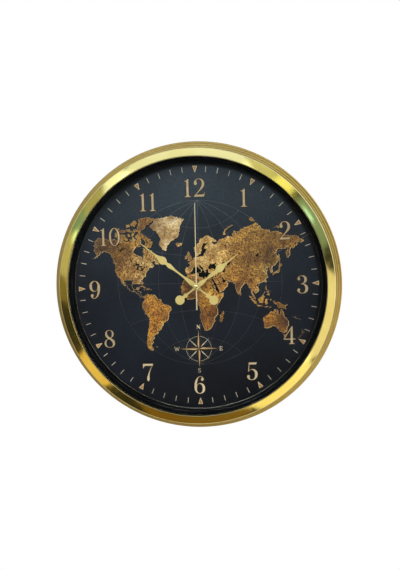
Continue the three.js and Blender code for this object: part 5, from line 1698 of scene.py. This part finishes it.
# Turning arrow about the setting knob: radius, half width, barb, and bearings in degrees from the right
ARROW_RADIUS = 8
ARROW_HALF = 0.4
ARROW_BARB = 1.6
ARROW_START = math.radians(25)
ARROW_END = math.radians(120)
ARROW_BARBS = math.radians(118)
ARROW_TIP = math.radians(136)
# Signs of the cell's ends, and where they stand
PLUS = [
    (-0.4, -1.2), (0.4, -1.2), (0.4, -0.4), (1.2, -0.4), (1.2, 0.4), (0.4, 0.4),
    (0.4, 1.2), (-0.4, 1.2), (-0.4, 0.4), (-1.2, 0.4), (-1.2, -0.4), (-0.4, -0.4),
]
MINUS = [(-1.2, -0.4), (1.2, -0.4), (1.2, 0.4), (-1.2, 0.4)]
SIGN_ACROSS = 20
SIGN_UP = -8
MARK_SUNK = 0.05
MARK = 0.3


def make_lid():
    rear = high("movement_lid", "y")
    lid = block("movement_cover", (low("movement_lid", "x"), rear - LID, low("movement_lid", "z")),
                (high("movement_lid", "x"), rear, high("movement_lid", "z")))
    pick(lid)
    for face in lid.data.polygons:
        face.select = face.normal.y > FACING
    bpy.ops.object.mode_set(mode="EDIT")
    bpy.ops.mesh.inset(thickness=LID_BORDER * MM, depth=0)
    bpy.ops.mesh.inset(thickness=LID_SLOPE * MM, depth=-LID_DISH * MM)
    bpy.ops.object.mode_set(mode="OBJECT")
    edge = lid.modifiers.new("soft_edges", "BEVEL")
    edge.width = LID_EDGE * MM
    edge.segments = 2
    edge.limit_method = "ANGLE"
    pick(lid)
    bpy.ops.object.modifier_apply(modifier=edge.name)
    floor = rear - LID_DISH
    worked(lid, drill("setting_knob", STEM_HOLE, rear - LID - OVERRUN, rear + OVERRUN))
    for node in BEARINGS:
        boss = spun("boss", rounded([
            (0, floor - LID, SHARP), (BOSS_OUTER, floor - LID, SHARP),
            (BOSS_OUTER, floor + BOSS_RISE, FINE), (BOSS_INNER, floor + BOSS_RISE, CRISP),
            (BOSS_CUP, floor - CUP_DROP, CRISP), (0, floor - CUP_DROP, SHARP),
        ], 2), BOSS_SEGMENTS, middle(node))
        worked(lid, boss, "UNION")
    dress(soften(lid, SMOOTH_LESS), FINISHES["grey_plastic"], "case", "grey_plastic", "movement_lid")
    make_lid_marks(floor)


def make_lid_marks(floor):
    """Moulded marks on the floor of the lid: the arrow round the knob and the signs of the cell's ends."""
    across, up = middle("setting_knob")
    rise = up - AXIS
    arrow = ring_of(across, rise, ARROW_RADIUS + ARROW_HALF, ARROW_START, ARROW_END, 14)
    arrow += ring_of(across, rise, ARROW_RADIUS - ARROW_HALF, ARROW_END, ARROW_START, 14)
    head = [on_ring(across, rise, ARROW_RADIUS, ARROW_TIP)]
    for reach in (ARROW_RADIUS + ARROW_BARB, ARROW_RADIUS - ARROW_BARB):
        head.append(on_ring(across, rise, reach, ARROW_BARBS))
    signs = moved([PLUS], SIGN_ACROSS, SIGN_UP) + moved([MINUS], -SIGN_ACROSS, SIGN_UP)
    marking = drawn("moulded_marks", [arrow, head] + signs, floor - MARK_SUNK, MARK)
    dress(marking, FINISHES["white_plastic"], "case", "white_plastic")


# Setting knob: a knurled grip with a dished middle
KNURLS = 28
KNURL_DEPTH = 0.4
KNOB_EDGE = 0.25
KNOB_RIM = 1.6
KNOB_LAP = 1.3
KNOB_STEM = 1.6
KNOB_FLOOR = 0.6
KNOB_SEGMENTS = 32
# Dish of the knob: how far its edge, its stem's edge and its middle lie under the rim
DISH_DROPS = (1.1, 0.8, 0.7)


def make_knob():
    across, up = middle("setting_knob")
    rise = up - AXIS
    front, rear = low("setting_knob", "y"), high("setting_knob", "y")
    radius = half("setting_knob", "x")
    grip = []
    for k in range(KNURLS * 4):
        reach = radius - (KNURL_DEPTH if k % 4 < 2 else 0)
        grip.append(on_ring(across, rise, reach, FULL_TURN * k / (KNURLS * 4)))
    rim = ring_of(across, rise, radius - KNOB_RIM, steps=KNOB_SEGMENTS)
    thickness = rear - front - 2 * KNOB_EDGE
    knob = drawn("setting_knob_grip", [grip, rim], front + KNOB_EDGE, thickness, KNOB_EDGE)
    edge_drop, stem_drop, middle_drop = DISH_DROPS
    dish = spun("dish", rounded([
        (KNOB_STEM, front, CRISP),
        (radius - KNOB_LAP, front, SHARP),
        (radius - KNOB_LAP, rear - edge_drop, SHARP),
        (KNOB_STEM, rear - stem_drop, EASED),
        (0, rear - middle_drop, SHARP),
        (0, front + KNOB_FLOOR, SHARP),
        (KNOB_STEM, front + KNOB_FLOOR, SHARP),
    ], 2), KNOB_SEGMENTS, (across, up))
    soften(joined(knob, dish))
    dress(knob, FINISHES["white_plastic"], "motion", "white_plastic", "setting_knob")


# Cell, with its length to the right: where the jacket starts and ends, and where its pale band starts
JACKET_START = -24.6
JACKET_END = 23.1
CELL_BAND = 13.5
CELL_SEGMENTS = 48
JACKET = 0.35
BASE_CHAMFER = 1
BASE_STEP = (0.2, 0.1)
SHOULDER_DROP = 1.5
BUTTON_FOOT = (0.4, 1.3)
BUTTON_TOP = 0.38
# Places of the cell's further finishes in its list
STEEL_ENDS, PALE_BAND = 1, 2


def make_cell():
    radius = half("battery_cell", "z")
    last = high("battery_cell", "x")
    depth = (low("battery_cell", "y") + high("battery_cell", "y")) / 2
    rise = middle("battery_cell")[1]
    profile = rounded([
        (0, -last, SHARP),
        (radius - BASE_CHAMFER, -last, EASED),
        (radius - BASE_STEP[0], JACKET_START - BASE_STEP[1], FINE),
        (radius, JACKET_START, CRISP),
        (radius, CELL_BAND, SHARP),
        (radius, JACKET_END, FINE),
        (radius - JACKET, JACKET_END + FINE, CRISP),
        (radius - JACKET, last - SHOULDER_DROP, EASED),
        (radius * BUTTON_FOOT[0], last - BUTTON_FOOT[1], FINE),
        (radius * BUTTON_TOP, last, SOFT),
        (0, last, SHARP),
    ], 3)
    places = [Vector((along * MM, depth * MM, (rise + reach) * MM)) for reach, along in profile]
    cell = soften(lathed("dry_cell", places, (0, depth * MM, rise * MM), (1, 0, 0), CELL_SEGMENTS))
    dress(cell, FINISHES["cell_jacket"], "case", "cell_jacket", "battery_cell")
    cell.data.materials.append(FINISHES["steel"])
    cell.data.materials.append(CELL_BAND_PAINT)
    for face in cell.data.polygons:
        along = face.center.x / MM
        if along < JACKET_START or along > JACKET_END:
            face.material_index = STEEL_ENDS
        elif along > CELL_BAND:
            face.material_index = PALE_BAND


def finish_solids():
    """Solids that stay as they are take the finish of their slot."""
    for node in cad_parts.values():
        slot = node.data.materials[0].name.split(".")[0] if node.data.materials else "black_plastic"
        node.data.materials.clear()
        node.data.materials.append(FINISHES.get(slot, FINISHES["black_plastic"]))


# Studio: pale floor, white surroundings, softboxes round the camera
FLOOR_DROP = 1.05
FLOOR_SIZE = 8
FLOOR_AHEAD = 0.6
FLOOR_FADE = 0.25
NEAR_GLOW = 0.5
# Room that the polished parts mirror, in linear light: its tones from below to above, and straight ahead
ROOM_TONES = [(0.2, (0.03, 0.025, 0.012, 1)), (0.6, (0.05, 0.055, 0.045, 1)), (0.8, (0.2, 0.22, 0.22, 1))]
ROOM_WHITE = (1, 1, 1, 1)
ROOM_AHEAD = (0.012, 0.014, 0.018, 1)
ROOM_FILL = (0.24, 0.24, 0.24, 1)
ROOM_BEHIND = (-0.5, 0.5)
ROOM_FRONT = (-0.97, -0.92)


def make_floor():
    """Floor that fades into the white round it, and keeps the clock's shadow."""
    start_fresh()
    bpy.ops.mesh.primitive_plane_add(size=FLOOR_SIZE, location=(0, FLOOR_SIZE / 2 - FLOOR_AHEAD, -FLOOR_DROP))
    floor = bpy.context.object
    floor.name = "studio_floor"
    material = new_finish("pale_floor", roughness=0.8)
    paint(material, two_tone(material, grain(material, 3, detail=2.0), "#f4f4f2", "#f8f8f6"))
    reach = add_node(material, "VectorMath", {0: own_place(material)}, operation="LENGTH").outputs["Value"]
    away = levels(material, reach, NEAR_GLOW, 1.0, FLOOR_DROP, FLOOR_DROP + FLOOR_FADE)
    camera_ray = add_node(material, "LightPath").outputs["Is Camera Ray"]
    share = reckoned(material, "MULTIPLY", camera_ray, away)
    glow = add_node(material, "Emission").outputs["Emission"]
    show(material, either(material, share, shader_of(material).outputs["BSDF"], glow))
    floor.data.materials.append(material)
    settle(floor)


def make_surroundings():
    """White to the camera and behind the clock; a dim room in front, which the polished parts mirror."""
    world = bpy.data.worlds.new("studio")
    bpy.context.scene.world = world
    world.use_nodes = True
    world.node_tree.nodes.clear()
    way = add_node(world, "TexCoord").outputs["Generated"]
    parts = add_node(world, "SeparateXYZ", {"Vector": way}).outputs
    height = ramped(world, levels(world, parts["Z"], first=-1, last=1), ROOM_TONES)
    behind = levels(world, parts["Y"], first=ROOM_BEHIND[0], last=ROOM_BEHIND[1])
    ahead = levels(world, parts["Y"], first=ROOM_FRONT[0], last=ROOM_FRONT[1])
    room = blended(world, ahead, ROOM_AHEAD, blended(world, behind, height, ROOM_WHITE))
    mirrored, fill, white = [
        add_node(world, "Background", {"Color": colour}).outputs["Background"]
        for colour in (room, ROOM_FILL, ROOM_WHITE)
    ]
    ray = add_node(world, "LightPath").outputs
    seen = reckoned(world, "MAXIMUM", ray["Is Glossy Ray"], ray["Is Transmission Ray"])
    # A ray that has met no matt surface on its way
    straight = reckoned(world, "LESS_THAN", ray["Diffuse Depth"], 0.5)
    unseen = either(world, reckoned(world, "MULTIPLY", seen, straight), fill, mirrored)
    add_node(world, "OutputWorld", {"Surface": either(world, ray["Is Camera Ray"], unseen, white)})


DIAL_CENTRE = Vector((0, DIAL_FRONT * MM, AXIS * MM))


def softbox(name, offset, wide, tall, radiance, tint=(1, 1, 1), mirrored=True):
    """Area lamp at an offset from the dial's centre, facing it, of an even radiance."""
    lamp = bpy.data.lights.new(name, "AREA")
    lamp.shape = "RECTANGLE"
    lamp.size = wide
    lamp.size_y = tall
    lamp.energy = radiance * math.pi * wide * tall
    lamp.color = tint
    box = bpy.data.objects.new(name, lamp)
    box.visible_glossy = mirrored
    box.location = DIAL_CENTRE + Vector(offset)
    box.rotation_euler = (-Vector(offset)).to_track_quat("-Z", "Y").to_euler()
    bpy.context.scene.collection.objects.link(box)
    return box


# Lamps on a ring about the camera: its radius, how far ahead it stands, and its shift left and down
LAMP_RING = 0.6
LAMP_AHEAD = -0.86
LAMP_SHIFT = -0.08
LAMP_DEEP = 0.55
# Small glints stand a little nearer and further in
GLINT = (0.545, 0.07, LAMP_AHEAD + 0.02)


def ring_lamp(name, bearing, spread, radiance, tint, reach=LAMP_RING, deep=LAMP_DEEP, ahead=LAMP_AHEAD):
    """Softbox on a ring about the camera, which the polished band mirrors at that bearing."""
    angle = math.radians(bearing)
    place = (LAMP_SHIFT + reach * math.sin(angle), ahead, LAMP_SHIFT + reach * math.cos(angle))
    wide = 2 * reach * math.tan(math.radians(spread) / 2)
    lamp = softbox(name, place, wide, deep, radiance, tint)
    aim = (-Vector(place)).normalized()
    across = aim.cross(Vector((math.sin(angle), 0, math.cos(angle)))).normalized()
    up = across.cross(aim).normalized()
    lamp.rotation_euler = Matrix((across, up, -aim)).transposed().to_euler()


def make_lights():
    """Soft light on the clock, then the lamps that the band mirrors, by bearing and spread in degrees."""
    softbox("key", (-0.15, -1.0, 0.5), 0.5, 0.26, 12.7, mirrored=False)
    softbox("left_light", (-0.9, -1.0, 1.0), 0.9, 0.9, 1.6, mirrored=False)
    softbox("right_light", (1.05, -0.85, 0.95), 1.1, 1.1, 1.4)
    softbox("side_light", (1.3, -0.35, 0.0), 0.5, 1.3, 3.4, (1.0, 0.97, 0.88))
    softbox("rear_right", (1.1, 1.5, 0.8), 1.2, 1.2, 2.6, mirrored=False)
    softbox("rear_left", (-1.2, 1.4, 0.3), 1.2, 1.2, 2.0, mirrored=False)
    softbox("low_glow", (0.1, -0.5, -1.0), 0.9, 0.4, 0.7, (1.0, 0.97, 0.85))
    ring_lamp("top_box", -2, 50, 1.3, (0.6, 0.72, 1.0))
    ring_lamp("upper_right_board", 30, 13, 0.55, (0.93, 1.0, 0.7))
    ring_lamp("right_strip", 42, 9, 1.15, (0.9, 1.0, 0.5))
    ring_lamp("right_teal", 62, 22, 0.34, (0.55, 0.92, 0.95))
    ring_lamp("right_glint", 58, 7, 1.1, (0.36, 0.78, 1.0), *GLINT)
    ring_lamp("right_box", 103, 37, 0.85, (1.0, 0.98, 0.88))
    ring_lamp("lower_right_box", 139, 31, 1.06, (1.0, 0.98, 0.65))
    ring_lamp("brown_board", 181, 46, 0.165, (1.0, 0.58, 0.08))
    ring_lamp("lower_left_strip", 232.5, 18, 0.8, (1.0, 0.75, 0.25))
    ring_lamp("left_board", 270, 10, 0.17, (1.0, 0.8, 0.2))
    ring_lamp("left_box", 286, 20, 0.46, (1.0, 1.0, 0.65))
    ring_lamp("left_teal", 301, 10, 0.3, (0.5, 1.0, 0.95))
    ring_lamp("left_glint", 295, 5, 1.0, (0.5, 1.0, 1.0), *GLINT)
    ring_lamp("left_olive", 312, 12, 0.36, (0.92, 1.0, 0.58))
    ring_lamp("upper_left_box", 325, 12, 1.7, (0.62, 0.75, 1.0))


def make_camera():
    view = bpy.data.cameras.new("photo_view")
    view.lens = VIEW_LENS
    view.sensor_width = VIEW_SENSOR
    view.shift_x = (PHOTO_WIDE / 2 - DIAL_ACROSS) / PHOTO_HIGH
    view.shift_y = (DIAL_DOWN - PHOTO_HIGH / 2) / PHOTO_HIGH
    camera = bpy.data.objects.new("photo_view", view)
    toward = Vector((
        math.sin(VIEW_RIGHT) * math.cos(VIEW_ABOVE),
        -math.cos(VIEW_RIGHT) * math.cos(VIEW_ABOVE),
        math.sin(VIEW_ABOVE),
    ))
    camera.location = DIAL_CENTRE + toward * VIEW_DISTANCE
    aim = (-toward).to_track_quat("-Z", "Y").to_matrix()
    camera.rotation_euler = (aim @ Matrix.Rotation(VIEW_ROLL, 3, "Z")).to_euler()
    bpy.context.scene.collection.objects.link(camera)
    bpy.context.scene.camera = camera
    bpy.context.scene.view_settings.view_transform = "Standard"


finish_solids()
make_case()
make_glass()
make_inner_ring()
make_dial()
make_minute_track()
make_numerals()
make_map()
make_globe_lines()
make_compass()
make_hands()
make_back_cover()
make_screws(COVER_SCREWS, COVER_SHANK)
make_screws(HANGER_SCREWS, HANGER_SHANK)
make_hanger()
make_lid()
make_knob()
make_cell()
make_floor()
make_surroundings()
make_lights()
make_camera()
